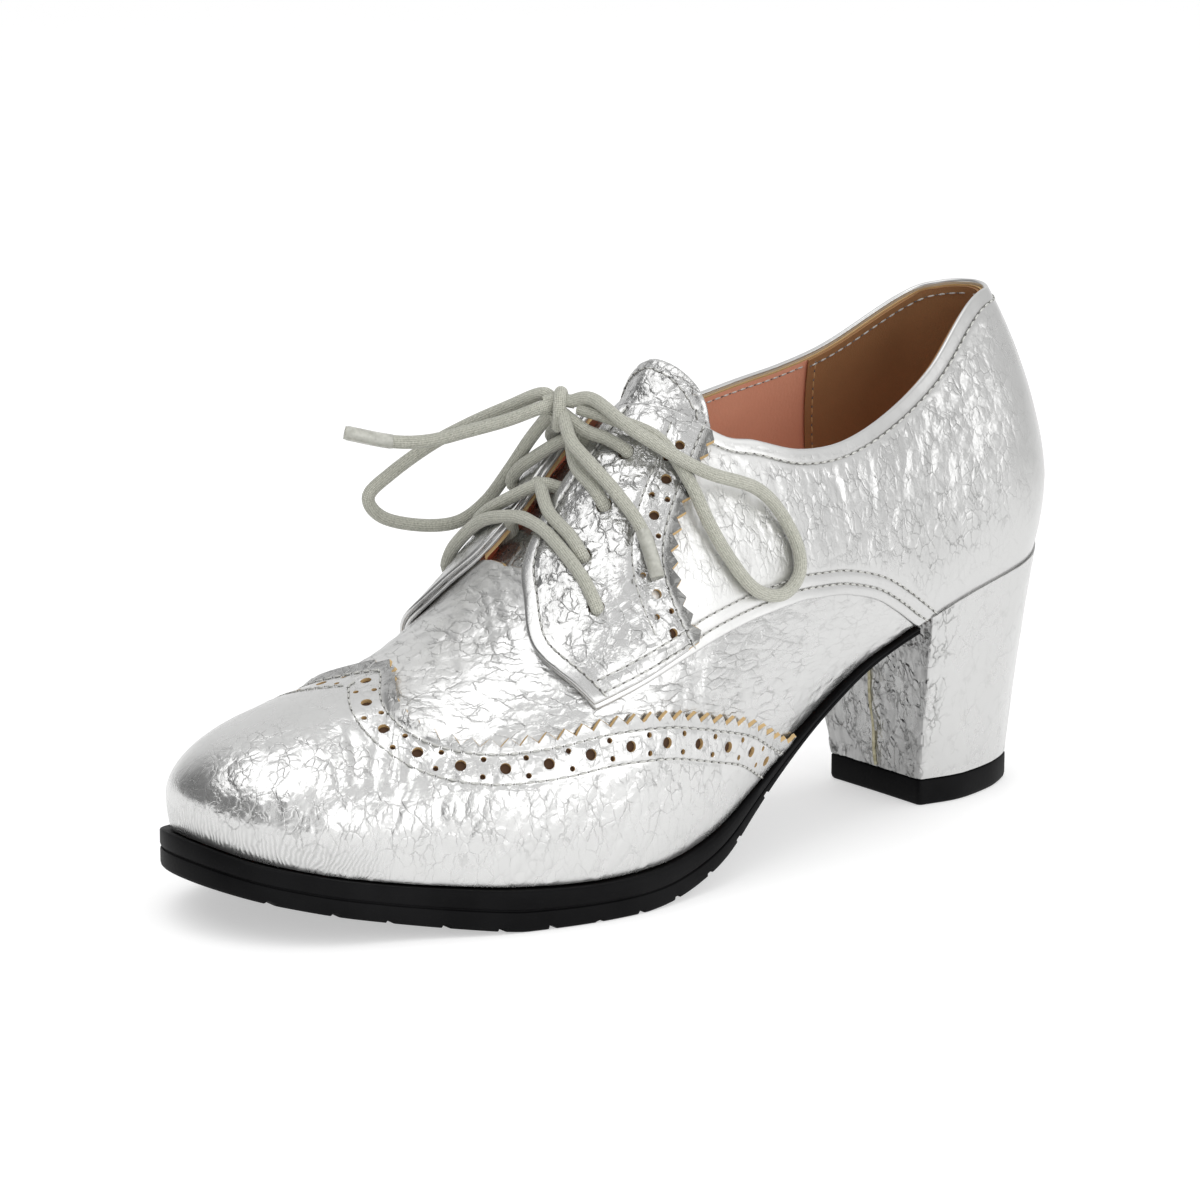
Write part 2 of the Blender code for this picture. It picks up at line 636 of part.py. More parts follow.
def build():
    for old in list(bpy.data.objects):
        bpy.data.objects.remove(old)
    shoe = collection("block_heel_derby")
    cutters = collection("cutters")
    silver = material("silver_leather", (0.78, 0.78, 0.77), 0.28, 0.9)
    cap_silver = material("cap_leather", (0.80, 0.80, 0.79), 0.26, 0.9)
    facing_silver = material("facing_leather", (0.76, 0.76, 0.75), 0.28, 0.9)
    tongue_silver = material("tongue_leather", (0.74, 0.74, 0.73), 0.3, 0.9)
    heel_silver = material("heel_cover", (0.78, 0.78, 0.77), 0.24, 0.9)
    rubber = material("sole_rubber", (0.012, 0.012, 0.013), 0.55, 0.0)
    lift_rubber = material("lift_rubber", (0.012, 0.012, 0.013), 0.5, 0.0)
    suede = material("insole_lining", (0.55, 0.36, 0.29), 0.8, 0.0)
    wax = material("lace_cotton", (0.47, 0.47, 0.43), 0.75, 0.0)
    steel = material("cutter", (0.5, 0.5, 0.5), 0.5, 0.0)

    punches = [hole_cutter(number, side, cutters, steel) for side in (1, -1) for number in range(len(HOLES))]
    quarter = thicken(surface("quarters", quarter_grid(), cutters, silver), QUARTER_WALL)
    upper = thicken(surface("upper", vamp_grid(), shoe, silver), VAMP_WALL)
    combine(upper, quarter, "UNION")
    for punch in punches:
        combine(upper, punch, "DIFFERENCE")

    thicken(surface("wing_cap", wing_grid(), shoe, cap_silver), OVERLAY)
    for name, side in (("eyestay_lateral", 1), ("eyestay_medial", -1)):
        stay = thicken(surface(name, eyestay_grid(side), shoe, facing_silver), OVERLAY)
        for punch in punches[:len(HOLES)] if side > 0 else punches[len(HOLES):]:
            combine(stay, punch, "DIFFERENCE")
    thicken(surface("tongue", tongue_grid(), shoe, tongue_silver), TONGUE_WALL)

    sole = plank("outsole", outsole_rings(), shoe, rubber)
    sole.modifiers.new("flat", "TRIANGULATE")
    for number, x in enumerate(np.arange(106.0, 232.0, GROOVE_PITCH)):
        combine(sole, tread_cutter(number, x * LONG, cutters, steel), "DIFFERENCE")
    plank("insole", insole_rings(), shoe, suede)
    plank("heel_block", heel_rings([0.0, 0.12, 0.4, 0.7, 1.0]), shoe, heel_silver)
    plank("heel_top_lift", lift_rings(), shoe, lift_rubber)

    last = len(HOLES) - 1
    strands = [(low, low + 1) for low in range(last)] + [(low + 1, low) for low in range(last)] + [(last, last)]
    crossings = as_mesh(cord("lace_crossings", strand(0, 0), LACE, 7, shoe, wax), shoe)
    for number, (low, high) in enumerate(strands):
        piece = as_mesh(cord(f"lace_strand_{number}", strand(low, high), LACE, 7, cutters, wax), cutters)
        combine(crossings, piece, "UNION")

    bpy.ops.mesh.primitive_uv_sphere_add(segments=12, ring_count=8, radius=0.5)
    knot = bpy.context.active_object
    knot.name = "lace_knot"
    knot.location = place(KNOT)
    knot.scale = [size * MM for size in KNOT_SIZE]
    for owner in list(knot.users_collection):
        owner.objects.unlink(knot)
    knot.data.materials.append(wax)
    shoe.objects.link(knot)
    cord("lace_loop_lateral", LOOP_LATERAL, LACE, 27, shoe, wax)
    cord("lace_loop_medial", LOOP_MEDIAL, LACE, 23, shoe, wax)
    cord("lace_end_lateral", END_LATERAL, LACE, 9, shoe, wax)
    cord("lace_end_medial", END_MEDIAL, LACE, 10, shoe, wax)


build()
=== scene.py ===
import math
from collections import namedtuple

import bpy
import numpy as np
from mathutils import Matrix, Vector, kdtree


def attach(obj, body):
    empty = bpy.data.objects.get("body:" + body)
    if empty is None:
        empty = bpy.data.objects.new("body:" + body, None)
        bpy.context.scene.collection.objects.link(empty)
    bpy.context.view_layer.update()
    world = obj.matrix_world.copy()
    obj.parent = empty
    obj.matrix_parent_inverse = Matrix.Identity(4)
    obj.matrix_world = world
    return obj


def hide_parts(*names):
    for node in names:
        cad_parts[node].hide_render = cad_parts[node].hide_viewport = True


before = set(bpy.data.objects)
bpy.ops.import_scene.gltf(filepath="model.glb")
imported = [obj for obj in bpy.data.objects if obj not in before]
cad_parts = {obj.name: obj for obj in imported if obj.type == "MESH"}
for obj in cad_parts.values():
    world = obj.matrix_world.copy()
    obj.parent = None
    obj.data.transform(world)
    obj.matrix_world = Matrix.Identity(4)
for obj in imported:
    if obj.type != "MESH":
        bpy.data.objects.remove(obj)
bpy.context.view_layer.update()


# Floor, light and camera
# A pale seamless floor, a broad softbox overhead, one at the lateral side, and a room that is dim ahead of
# the toe, so that the foil has something dark to mirror. The camera stands ahead of the lateral side.
FLOOR_HALF = 7.0
PAPER, WHITE, PAPER_GLOW = (0.65, 0.65, 0.65, 1.0), (1.0, 1.0, 1.0, 1.0), 0.48
ROOM_DIM_WAY = (0.89, -0.44, 0.1)
ROOM_LIGHT, ROOM_DIM = 0.88, 0.18
CAMERA_AIM = Vector((0.00494, -0.00889, 0.05705))
CAMERA_AWAY = 0.9
CAMERA_TURN, CAMERA_RISE = math.radians(143.1), math.radians(12.5)
CAMERA_LENS, CAMERA_FILM = 119.11, 36.0


class Wire:
    """A value in a node tree that can be used in sums."""

    def __init__(self, tree, socket):
        self.tree = tree
        self.socket = socket

    def sum(self, operation, first, second):
        return self.tree.node("ShaderNodeMath", {"operation": operation}, {0: first, 1: second})

    def __add__(self, other):
        return self.sum("ADD", self, other)

    def __radd__(self, other):
        return self.sum("ADD", other, self)

    def __sub__(self, other):
        return self.sum("SUBTRACT", self, other)

    def __rsub__(self, other):
        return self.sum("SUBTRACT", other, self)

    def __mul__(self, other):
        return self.sum("MULTIPLY", self, other)


class Tree:
    """A node tree while its nodes are put in."""

    def __init__(self, tree):
        self.tree = tree

    def plug(self, port, value):
        """Give a port a plain value, or a wire from another node."""
        if isinstance(value, Wire):
            self.tree.links.new(value.socket, port)
        else:
            port.default_value = value

    def node(self, kind, settings=None, sockets=None, out=0):
        """New node with its settings and the values or wires of its ports."""
        made = self.tree.nodes.new(kind)
        for key, value in (settings or {}).items():
            setattr(made, key, value)
        for key, value in (sockets or {}).items():
            self.plug(made.inputs[key], value)
        return Wire(self, made.outputs[out])

    def vector(self, operation, first, second, out=0):
        return self.node("ShaderNodeVectorMath", {"operation": operation}, {0: first, 1: second}, out)

    def smoothed(self, value, low, high, least=0.0, most=1.0):
        """Soft step of a value between low and high."""
        sockets = {"Value": value, "From Min": low, "From Max": high, "To Min": least, "To Max": most}
        return self.node("ShaderNodeMapRange", {"interpolation_type": "SMOOTHSTEP"}, sockets)


class Finish(Tree):
    """A material while its nodes are put in."""

    def __init__(self, name):
        self.look = bpy.data.materials.new(name)
        self.look.use_nodes = True
        super().__init__(self.look.node_tree)
        self.shader = self.tree.nodes["Principled BSDF"]

    def set(self, **sockets):
        for key, value in sockets.items():
            self.plug(self.shader.inputs[key.replace("_", " ")], value)

    def bump(self, height, distance, strength=1.0):
        sockets = {"Height": height, "Distance": distance, "Strength": strength}
        self.set(Normal=self.node("ShaderNodeBump", None, sockets))

    def place(self):
        """Place on the piece, in metres."""
        return self.node("ShaderNodeTexCoord", out="Object")

    def mark(self, name):
        """Number that the points of the piece carry."""
        return self.node("ShaderNodeAttribute", {"attribute_name": name}, out="Fac")

    def noise(self, spot, scale, detail, out=0, **more):
        sockets = {"Vector": spot, "Scale": scale, "Detail": detail, **more}
        return self.node("ShaderNodeTexNoise", None, sockets, out)

    def shades(self, value, *stops):
        """Colours along a value, each given with its place."""
        made = self.node("ShaderNodeValToRGB", None, {"Fac": value})
        elements = made.socket.node.color_ramp.elements
        while len(elements) < len(stops):
            elements.new(1.0)
        for stop, (place, shade) in zip(elements, stops):
            stop.position = place
            stop.color = (*shade, 1.0)
        return made

    def mix(self, factor, first, second):
        """Colour between two others."""
        return self.node("ShaderNodeMix", {"data_type": "RGBA"}, {"Factor": factor, 6: first, 7: second}, 2)


floor_paper = Finish("floor_paper")
paper_fibre = floor_paper.node("ShaderNodeTexNoise", None, {"Scale": 60.0, "Detail": 4.0})
floor_paper.set(Base_Color=PAPER, Roughness=paper_fibre * 0.1 + 0.75, Emission_Color=WHITE,
                Emission_Strength=PAPER_GLOW)
floor_mesh = bpy.data.meshes.new("floor")
floor_corners = [(x * FLOOR_HALF, y * FLOOR_HALF, 0) for x, y in ((-1, -1), (1, -1), (1, 1), (-1, 1))]
floor_mesh.from_pydata(floor_corners, [], [(0, 1, 2, 3)])
floor_mesh.materials.append(floor_paper.look)
floor_sheet = bpy.data.objects.new("floor", floor_mesh)
bpy.context.scene.collection.objects.link(floor_sheet)

room = bpy.data.worlds.new("studio_room")
bpy.context.scene.world = room
room.use_nodes = True
room_tree = Tree(room.node_tree)
room_way = room_tree.node("ShaderNodeTexCoord", out="Generated")
room_side = room_tree.vector("DOT_PRODUCT", room_way, ROOM_DIM_WAY, "Value")
room_shade = room_tree.smoothed(room_side, 0.3, 0.8, ROOM_LIGHT, ROOM_DIM)
room_tree.plug(room.node_tree.nodes["Background"].inputs["Color"], room_shade)
bpy.context.scene.view_settings.view_transform = "Standard"

Softbox = namedtuple("Softbox", "name place aim width height power")
for box in [
    Softbox("softbox_top", (0.55, 0.0, 1.3), (0.0, 0.0, 0.05), 1.2, 1.3, 7.2),
    Softbox("softbox_side", (-0.1, 1.4, 0.5), (0.0, 0.0, 0.06), 1.8, 0.9, 6.4),
]:
    lamp_data = bpy.data.lights.new(box.name, "AREA")
    lamp_data.shape = "RECTANGLE"
    lamp_data.size, lamp_data.size_y = box.width, box.height
    lamp_data.energy = box.power
    lamp = bpy.data.objects.new(box.name, lamp_data)
    lamp.location = box.place
    lamp.rotation_euler = (Vector(box.aim) - Vector(box.place)).to_track_quat("-Z", "Y").to_euler()
    bpy.context.scene.collection.objects.link(lamp)

camera_back = Vector((math.sin(CAMERA_TURN) * math.cos(CAMERA_RISE),
                      -math.cos(CAMERA_TURN) * math.cos(CAMERA_RISE), math.sin(CAMERA_RISE)))
camera_data = bpy.data.cameras.new("camera")
camera_data.sensor_width = CAMERA_FILM
camera_data.lens = CAMERA_LENS
camera_data.clip_start = 0.01
camera = bpy.data.objects.new("camera", camera_data)
camera.location = CAMERA_AIM + camera_back * CAMERA_AWAY
camera.rotation_euler = (-camera_back).to_track_quat("-Z", "Y").to_euler()
bpy.context.scene.collection.objects.link(camera)
bpy.context.scene.camera = camera


# Outsole
# One black rubber unit, moulded in two layers with a line between them round the edge, cross grooves in
# the tread and a thin waist that runs up to the heel. Its outline is the last's, with a narrow welt.
MILLIMETRE = 0.001
HEEL_BACK = np.array([118.76, 4.59, 0.0])
SEAT_GAP = 0.3
BREAST = 2.9
SoleRow = namedtuple("SoleRow", "x top tread")
SOLE = [
    SoleRow(-6, 63.0, 52.0), SoleRow(0, 61.8, 51.0), SoleRow(25, 56.3, 49.0), SoleRow(40, 51.6, 47.6),
    SoleRow(50, 47.8, 45.6), SoleRow(60, 43.9, 42.4), SoleRow(70, 40.0, 38.2), SoleRow(80, 35.0, 32.8),
    SoleRow(90, 29.7, 27.0), SoleRow(100, 24.4, 20.7), SoleRow(110, 19.3, 14.0), SoleRow(120, 14.7, 7.4),
    SoleRow(130, 11.3, 3.2), SoleRow(140, 9.4, 0.8), SoleRow(148, 8.9, 0.0), SoleRow(178, 9.5, 0.0),
    SoleRow(190, 10.7, 1.6), SoleRow(200, 11.9, 3.2), SoleRow(210, 13.7, 5.2), SoleRow(220, 15.9, 7.5),
    SoleRow(230, 18.6, 10.0), SoleRow(237, 21.6, 12.2), SoleRow(245, 25.0, 15.5),
]
RidgeRow = namedtuple("RidgeRow", "x y crown")
RIDGE = [
    RidgeRow(28, 0.0, 136), RidgeRow(60, 0.5, 125), RidgeRow(85, 1.5, 119), RidgeRow(105, 2.6, 114.5),
    RidgeRow(115, 3.0, 111.5), RidgeRow(125, 3.5, 105.5), RidgeRow(135, 3.5, 95.5), RidgeRow(150, 3.3, 78),
    RidgeRow(165, 2.5, 63), RidgeRow(175, 1.5, 56), RidgeRow(185, 0.5, 51.5), RidgeRow(205, -2.5, 46),
]
Station = namedtuple("Station", "spine fan lateral medial bulge rise full ledge")
STATIONS = [
    Station(28, 180, 24.8, 24.8, 2.7, 17, 1.46, 0.0),
    Station(28, 135, 25.2, 25.2, 2.4, 17, 1.46, 0.0),
    Station(28, 90, 26.0, 25.6, 2.2, 18, 1.52, 0.0),
    Station(52, 90, 25.2, 24.7, 3.0, 20, 1.65, -0.2),
    Station(77, 90, 26.0, 23.5, 4.5, 22, 1.75, 0.2),
    Station(102, 90, 30.0, 25.0, 5.0, 21, 1.85, 0.8),
    Station(127, 90, 36.6, 30.6, 3.5, 18, 1.93, 1.8),
    Station(152, 90, 41.0, 37.4, 2.2, 15, 2.00, 2.0),
    Station(179, 90, 38.8, 36.4, 1.6, 12, 2.00, 2.0),
    Station(205, 90, 31.5, 29.6, 1.2, 10, 1.90, 2.0),
    Station(205, 60, 28.6, 28.6, 1.0, 9, 1.80, 2.2),
    Station(205, 30, 28.4, 28.8, 0.9, 8, 1.75, 2.4),
    Station(205, 0, 28.8, 28.8, 0.8, 8, 1.75, 2.6),
]
TIP = len(STATIONS) - 1
LAP = 2 * TIP


def smooth(rows, places):
    """Smooth curve through rows, one for each whole number, read at every place."""
    rows = np.asarray(rows, float)
    places = np.asarray(places, float)
    longer = np.vstack([2 * rows[0] - rows[1], rows, 2 * rows[-1] - rows[-2]])
    low = np.clip(np.floor(places).astype(int), 0, len(rows) - 2)
    part = (places - low)[..., None]
    before, here, there, after = longer[low], longer[low + 1], longer[low + 2], longer[low + 3]
    bend = 2 * before - 5 * here + 4 * there - after
    twist = 3 * here - before - 3 * there + after
    return here + 0.5 * ((there - before) * part + bend * part ** 2 + twist * part ** 3)


def along(rows, column, x):
    """Smooth value of a named column of a side-view table at x."""
    xs = np.array([row.x for row in rows], float)
    ys = np.array([getattr(row, column) for row in rows], float)
    slopes = np.gradient(ys, xs)
    low = np.clip(np.searchsorted(xs, x) - 1, 0, len(xs) - 2)
    width = xs[low + 1] - xs[low]
    part = (x - xs[low]) / width
    rise = 3 * part ** 2 - 2 * part ** 3
    lead = slopes[low] * (part ** 3 - 2 * part ** 2 + part)
    trail_off = slopes[low + 1] * (part ** 3 - part ** 2)
    return ys[low] * (1 - rise) + ys[low + 1] * rise + width * (lead + trail_off)


def ramp(low, high, value):
    part = np.clip((np.asarray(value, float) - low) / (high - low), 0, 1)
    return part * part * (3 - 2 * part)


def sole_top(x):
    return along(SOLE, "top", x)


def sole_tread(x):
    return np.maximum(0.0, along(SOLE, "tread", x))


def section(turns):
    """Values of the last's sections at turns round the foot: lateral from heel to tip, then medial back."""
    rows = []
    for number in range(-2, LAP + 3):
        turned = number % LAP
        lateral = turned <= TIP
        row = STATIONS[turned if lateral else LAP - turned]
        fan = (row.fan if lateral else -row.fan) - 360 * (number // LAP)
        reach = row.lateral if lateral else row.medial
        rows.append((row.spine, fan, reach, row.bulge, row.rise, row.full, row.ledge))
    spine, fan, reach, bulge, rise, full, ledge = np.moveaxis(smooth(rows, np.asarray(turns) % LAP + 2), -1, 0)
    spine = np.minimum(spine, STATIONS[TIP].spine)
    heading = np.stack([np.cos(np.radians(fan)), np.sin(np.radians(fan))], -1)
    return spine, heading, reach, bulge, rise, full, ledge


def outline(turns, inset):
    """Feather edge seen from above, moved inward."""
    spine, heading, reach, *_ = section(turns)
    start = np.stack([spine, along(RIDGE, "y", spine)], -1)
    return start + heading * (reach - np.asarray(inset))[..., None]


def metres(points):
    return (np.asarray(points, float) - HEEL_BACK) * MILLIMETRE


def solid(name, points, faces, looks, choice=None, sharp=50):
    """Object with a smooth mesh from points in millimetres, with a sharp edge wherever it bends hard."""
    mesh = bpy.data.meshes.new(name)
    mesh.from_pydata(metres(points).tolist(), [], faces)
    for look in looks:
        mesh.materials.append(look)
    if choice is not None:
        mesh.polygons.foreach_set("material_index", np.asarray(choice, np.int32))
    mesh.polygons.foreach_set("use_smooth", np.ones(len(mesh.polygons), bool))
    mesh.set_sharp_from_angle(angle=math.radians(sharp))
    mesh.update()
    made = bpy.data.objects.new(name, mesh)
    bpy.context.scene.collection.objects.link(made)
    return made


def walls(levels, count):
    """Faces between closed loops, each with the same count of points and one more loop than levels."""
    faces = []
    for low in range(0, levels * count, count):
        for here in range(count):
            there = (here + 1) % count
            faces.append((low + here, low + there, low + count + there, low + count + here))
    return faces


def stacked(name, loops, looks):
    """Solid through closed loops from top to bottom, all with as many points, closed at both ends."""
    count = len(loops[0])
    points = np.concatenate([*loops, [loops[0].mean(0)], [loops[-1].mean(0)]])
    top, low = len(points) - 2, len(points) - 1
    faces = walls(len(loops) - 1, count)
    last_loop = (len(loops) - 1) * count
    for here in range(count):
        there = (here + 1) % count
        faces.append((top, there, here))
        faces.append((low, last_loop + here, last_loop + there))
    made = solid(name, points, faces, looks)
    centre = Vector(metres(points).mean(0))
    turned = sum((face.center - centre).dot(face.normal) * face.area for face in made.data.polygons)
    if turned < 0:
        made.data.flip_normals()
    return made


def cut_away(body, cutter):
    """Cut one piece out of another for good."""
    step = body.modifiers.new("cut", "BOOLEAN")
    step.object = cutter
    step.operation = "DIFFERENCE"
    step.solver = "MANIFOLD"
    step.material_mode = "INDEX"
    bpy.context.view_layer.update()
    seen = body.evaluated_get(bpy.context.evaluated_depsgraph_get())
    mesh = bpy.data.meshes.new_from_object(seen)
    body.modifiers.clear()
    old = body.data
    body.data = mesh
    mesh.name = body.name
    bpy.data.meshes.remove(old)
    bpy.data.objects.remove(cutter)
    mesh.set_sharp_from_angle(angle=math.radians(40))


def spans(start, *legs):
    """Numbers from a start on through the ends of some legs, each leg with its own count."""
    parts = [np.array([start])]
    for end, count in legs:
        parts.append(np.linspace(start, end, count)[1:])
        start = end
    return np.concatenate(parts)


sole_rubber = Finish("sole_rubber")
rubber_place = sole_rubber.place()
rubber_pores = sole_rubber.noise(rubber_place, 1400.0, 3.0)
rubber_cloud = sole_rubber.noise(rubber_place, 70.0, 3.0)
rubber_shade = sole_rubber.shades(rubber_cloud, (0.3, (0.003, 0.003, 0.0033)), (0.75, (0.008, 0.008, 0.0085)))
sole_rubber.set(Base_Color=rubber_shade, Roughness=rubber_cloud * 0.2 + 0.45, Specular_IOR_Level=0.06)
sole_rubber.bump(rubber_pores * 0.6 + rubber_cloud, 0.0002, 0.35)

SoleEdge = namedtuple("SoleEdge", "share inset")
SOLE_EDGE = [
    SoleEdge(0.0, 1.2), SoleEdge(0.01, 0.5), SoleEdge(0.04, 0.15), SoleEdge(0.08, 0.0), SoleEdge(0.41, 0.0),
    SoleEdge(0.45, 0.12), SoleEdge(0.475, 0.5), SoleEdge(0.505, 0.5), SoleEdge(0.53, 0.1), SoleEdge(0.57, 0.0),
    SoleEdge(0.90, 0.0), SoleEdge(0.96, 0.15), SoleEdge(0.99, 0.45), SoleEdge(1.0, 1.1),
]
sole_stations = spans(BREAST + 0.14, (9.0, 130), (TIP, 60))
sole_turns = np.concatenate([sole_stations, LAP - sole_stations[-2::-1]])
sole_ledge = section(sole_turns)[-1]
sole_loops = []
for row in SOLE_EDGE:
    flat = outline(sole_turns, row.inset - sole_ledge)
    top, tread = sole_top(flat[:, 0]) - SEAT_GAP, sole_tread(flat[:, 0])
    sole_loops.append(np.column_stack([flat, top + (tread - top) * row.share]))
sole_count, sole_levels = len(sole_turns), len(sole_loops) - 1
sole_faces = walls(sole_levels, sole_count)
for here in range(sole_count // 2):
    corners = here, sole_count - 1 - here, sole_count - 2 - here, here + 1
    sole_faces.append(tuple(dict.fromkeys(corners)))
    deep = [sole_levels * sole_count + corner for corner in corners]
    sole_faces.append(tuple(dict.fromkeys(deep[:1] + deep[:0:-1])))
outsole = solid("outsole_rubber", np.concatenate(sole_loops), [face[::-1] for face in sole_faces],
                [sole_rubber.look])

GROOVE_WIDTH, GROOVE_DEPTH, GROOVE_PITCH = 2.4, 1.0, 11.0
GROOVE_FIRST, GROOVE_LAST, GROOVE_REACH = 106.0, 232.0, 60.0
GROOVE_SECTION = ((-0.5, -5.0), (0.5, -5.0), (0.4, 0.0), (-0.4, 0.0))
BAR_FACES = ((0, 1, 2, 3), (7, 6, 5, 4), (1, 0, 4, 5), (2, 1, 5, 6), (3, 2, 6, 7), (0, 3, 7, 4))
groove_points, groove_faces = [], []
for x in np.arange(GROOVE_FIRST, GROOVE_LAST, GROOVE_PITCH):
    slope = math.atan((sole_tread(x + 1) - sole_tread(x - 1)) / 2)
    onward = np.array([math.cos(slope), 0, math.sin(slope)])
    upward = np.array([-math.sin(slope), 0, math.cos(slope)])
    start = len(groove_points)
    roof = np.array([x, HEEL_BACK[1], float(sole_tread(x))]) + upward * GROOVE_DEPTH
    for side in (-GROOVE_REACH, GROOVE_REACH):
        for length, height in GROOVE_SECTION:
            spot = roof + onward * length * GROOVE_WIDTH + upward * height
            groove_points.append(spot + np.array([0, side, 0]))
    for face in BAR_FACES:
        groove_faces.append(tuple(start + corner for corner in face))
cut_away(outsole, solid("tread_grooves", np.array(groove_points), groove_faces, [sole_rubber.look]))
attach(outsole, "root")
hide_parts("outsole")


# Heel block and top lift
# A block heel wrapped in the same crinkled silver foil leather, with the two ends of the wrap meeting in a
# raw seam down the breast, on a black rubber lift.
LIFT_HEIGHT = 6.0
LIFT_EDGE = ((6.25, 0.6), (6.2, 0.15), (5.9, -0.1), (1.2, -0.1), (0.5, 0.1), (0.12, 0.45), (0.0, 1.0))
FootRow = namedtuple("FootRow", "station x half")
HEEL_FOOT = [FootRow(0, 6.5, 0.0), FootRow(0.5, 8.6, 6.8), FootRow(1, 14.0, 11.2),
             FootRow(1.5, 21.5, 14.8), FootRow(2.2, 33.0, 17.6), FootRow(BREAST, 44.5, 16.4)]
HEEL_POINTS = 260
BREAST_FACING = 0.72
SEAM_Y, SEAM_HALF, SEAM_DEEP, SEAM_SIDES = 0.6, 0.34, 0.42, 10
# The foil's mixed-in colours: a pale grey of painted light, a darker grey of painted shade for the cracks and
# pleats, and a near black grey of painted shade.
FOIL_PAINTED_LIGHT, FOIL_PAINTED_DITCH_SHADE = (0.86, 0.86, 0.85, 1.0), (0.22, 0.22, 0.215, 1.0)
FOIL_PAINTED_SHADE = (0.14, 0.14, 0.135, 1.0)
HALF = (0.5, 0.5, 0.5)


def scatter(block, seed):
    """Six steady random numbers for every cell."""
    mixed = block @ np.array([127.1, 311.7, 74.7]) + seed * 17.3
    return np.stack([np.mod(np.sin(mixed * pace_up) * 43758.5453, 1.0)
                     for pace_up in (1.0, 1.31, 1.73, 2.17, 2.71, 3.19)], 1)


def crumple(points, cell, seed):
    """Crumpled foil: each cell is a small tilted plane. Gives its height and the distance to the next fold."""
    spot = np.asarray(points, float) / np.asarray(cell, float)
    base = np.floor(spot)
    best = np.full(len(spot), 9.0)
    second = best.copy()
    height = np.zeros(len(spot))
    for corner in np.ndindex(3, 3, 3):
        block = base + np.array(corner) - 1
        dice = scatter(block, seed)
        gap = block + dice[:, :3] - spot
        away = np.linalg.norm(gap, axis=1)
        closer = away < best
        second = np.where(closer, best, np.minimum(second, away))
        height = np.where(closer, -(gap * (dice[:, 3:] - 0.5)).sum(1), height)
        best = np.where(closer, away, best)
    return height, second - best


def silver(name, cell, stretch, tilt, crack, gloss=0.27, tone=0.65, pleated=False, painted_ditch_weight=0.9):
    """Silver foil on a soft backing, crazed into small tilted facets with a fine broken crack between them."""
    foil = Finish(name)
    spot = foil.place()
    share = foil.mark("crinkle")
    cloud = foil.noise(spot, 60.0, 3.0)
    gaps = foil.noise(spot, 220.0, 2.0)
    drift = foil.vector("SUBTRACT", foil.noise(spot, 260.0, 4.0, "Color", Roughness=0.65), HALF)
    reach = cell * MILLIMETRE * 1.1
    drift = foil.node("ShaderNodeVectorMath", {"operation": "SCALE"}, {0: drift, "Scale": reach})
    spot = foil.vector("MULTIPLY", foil.vector("ADD", spot, drift), stretch)
    broken = foil.smoothed(gaps, 0.42, 0.57, 0.05)
    height, painted_ditch_shade = 0.0, 0.0
    # The last number of each size weighs the painted shade that darkens its cracks.
    for size, facet, cut, dark in ((cell, 0.9, 1.2, painted_ditch_weight), (cell * 2.1, 1.2, 0.6, 0.28 * painted_ditch_weight)):
        cells = {"Vector": spot, "Scale": 1.0 / (size * MILLIMETRE)}
        edge = foil.node("ShaderNodeTexVoronoi", {"feature": "DISTANCE_TO_EDGE"}, cells)
        shade = foil.node("ShaderNodeTexVoronoi", {"feature": "F1"}, cells, "Color")
        centre = foil.node("ShaderNodeTexVoronoi", {"feature": "F1"}, cells, "Position")
        arm = foil.vector("SUBTRACT", spot, centre)
        plane = foil.vector("DOT_PRODUCT", foil.vector("SUBTRACT", shade, HALF), arm, "Value")
        ditch, dome = foil.smoothed(edge, 0.0, 0.075), foil.smoothed(edge, 0.0, 0.4)
        bed = ditch * broken * (0.012 * crack * cut) + dome * 0.018
        height = height + plane * (0.05 * tilt * facet) + bed * (size * MILLIMETRE)
        painted_ditch_shade = painted_ditch_shade + (1.0 - ditch) * broken * dark
    grain = foil.noise(spot, 900.0, 3.0)
    height = height * share + grain * 0.00001 + cloud * 0.00012
    painted_ditch_shade = painted_ditch_shade * share
    if pleated:
        gather = foil.mark("gather")
        pleat = foil.node("ShaderNodeMath", {"operation": "SINE"}, {0: (foil.mark("run") + gaps * 3.0) * 6.4})
        height = height + pleat * gather * 0.00003
        # The pleats' troughs are painted darker as painted shade.
        painted_ditch_shade = painted_ditch_shade + (1.0 - pleat) * gather * 0.2
    # The haze mark paints the foil lighter as painted light, and also makes it rougher.
    haze_and_painted_light = foil.mark("haze_and_painted_light")
    colour = foil.mix(haze_and_painted_light, (tone, tone, tone * 0.99, 1.0), FOIL_PAINTED_LIGHT)
    # Painted shade: the cracks and the pleats' troughs are painted darker grey, and made a little rougher.
    colour = foil.mix(painted_ditch_shade * 0.75, colour, FOIL_PAINTED_DITCH_SHADE)
    # The shade mark paints the foil a darker grey as painted shade.
    colour = foil.mix(foil.mark("shade"), colour, FOIL_PAINTED_SHADE)
    roughness = cloud * 0.12 + (gloss - 0.06) + painted_ditch_shade * 0.12 + haze_and_painted_light * 0.22
    foil.set(Base_Color=colour, Metallic=0.92, Roughness=roughness)
    foil.bump(height, 1.0)
    return foil.look


def speckled(name, scale, detail, dark, light, relief=0.0, **sockets):
    """Plain finish with a fine speckle of two shades, which stands up by the relief."""
    plain = Finish(name)
    cloud = plain.noise(plain.place(), scale, detail)
    plain.set(Base_Color=plain.shades(cloud, (0.3, dark), (0.7, light)), **sockets)
    if relief:
        plain.bump(cloud, relief, 0.5)
    return plain.look


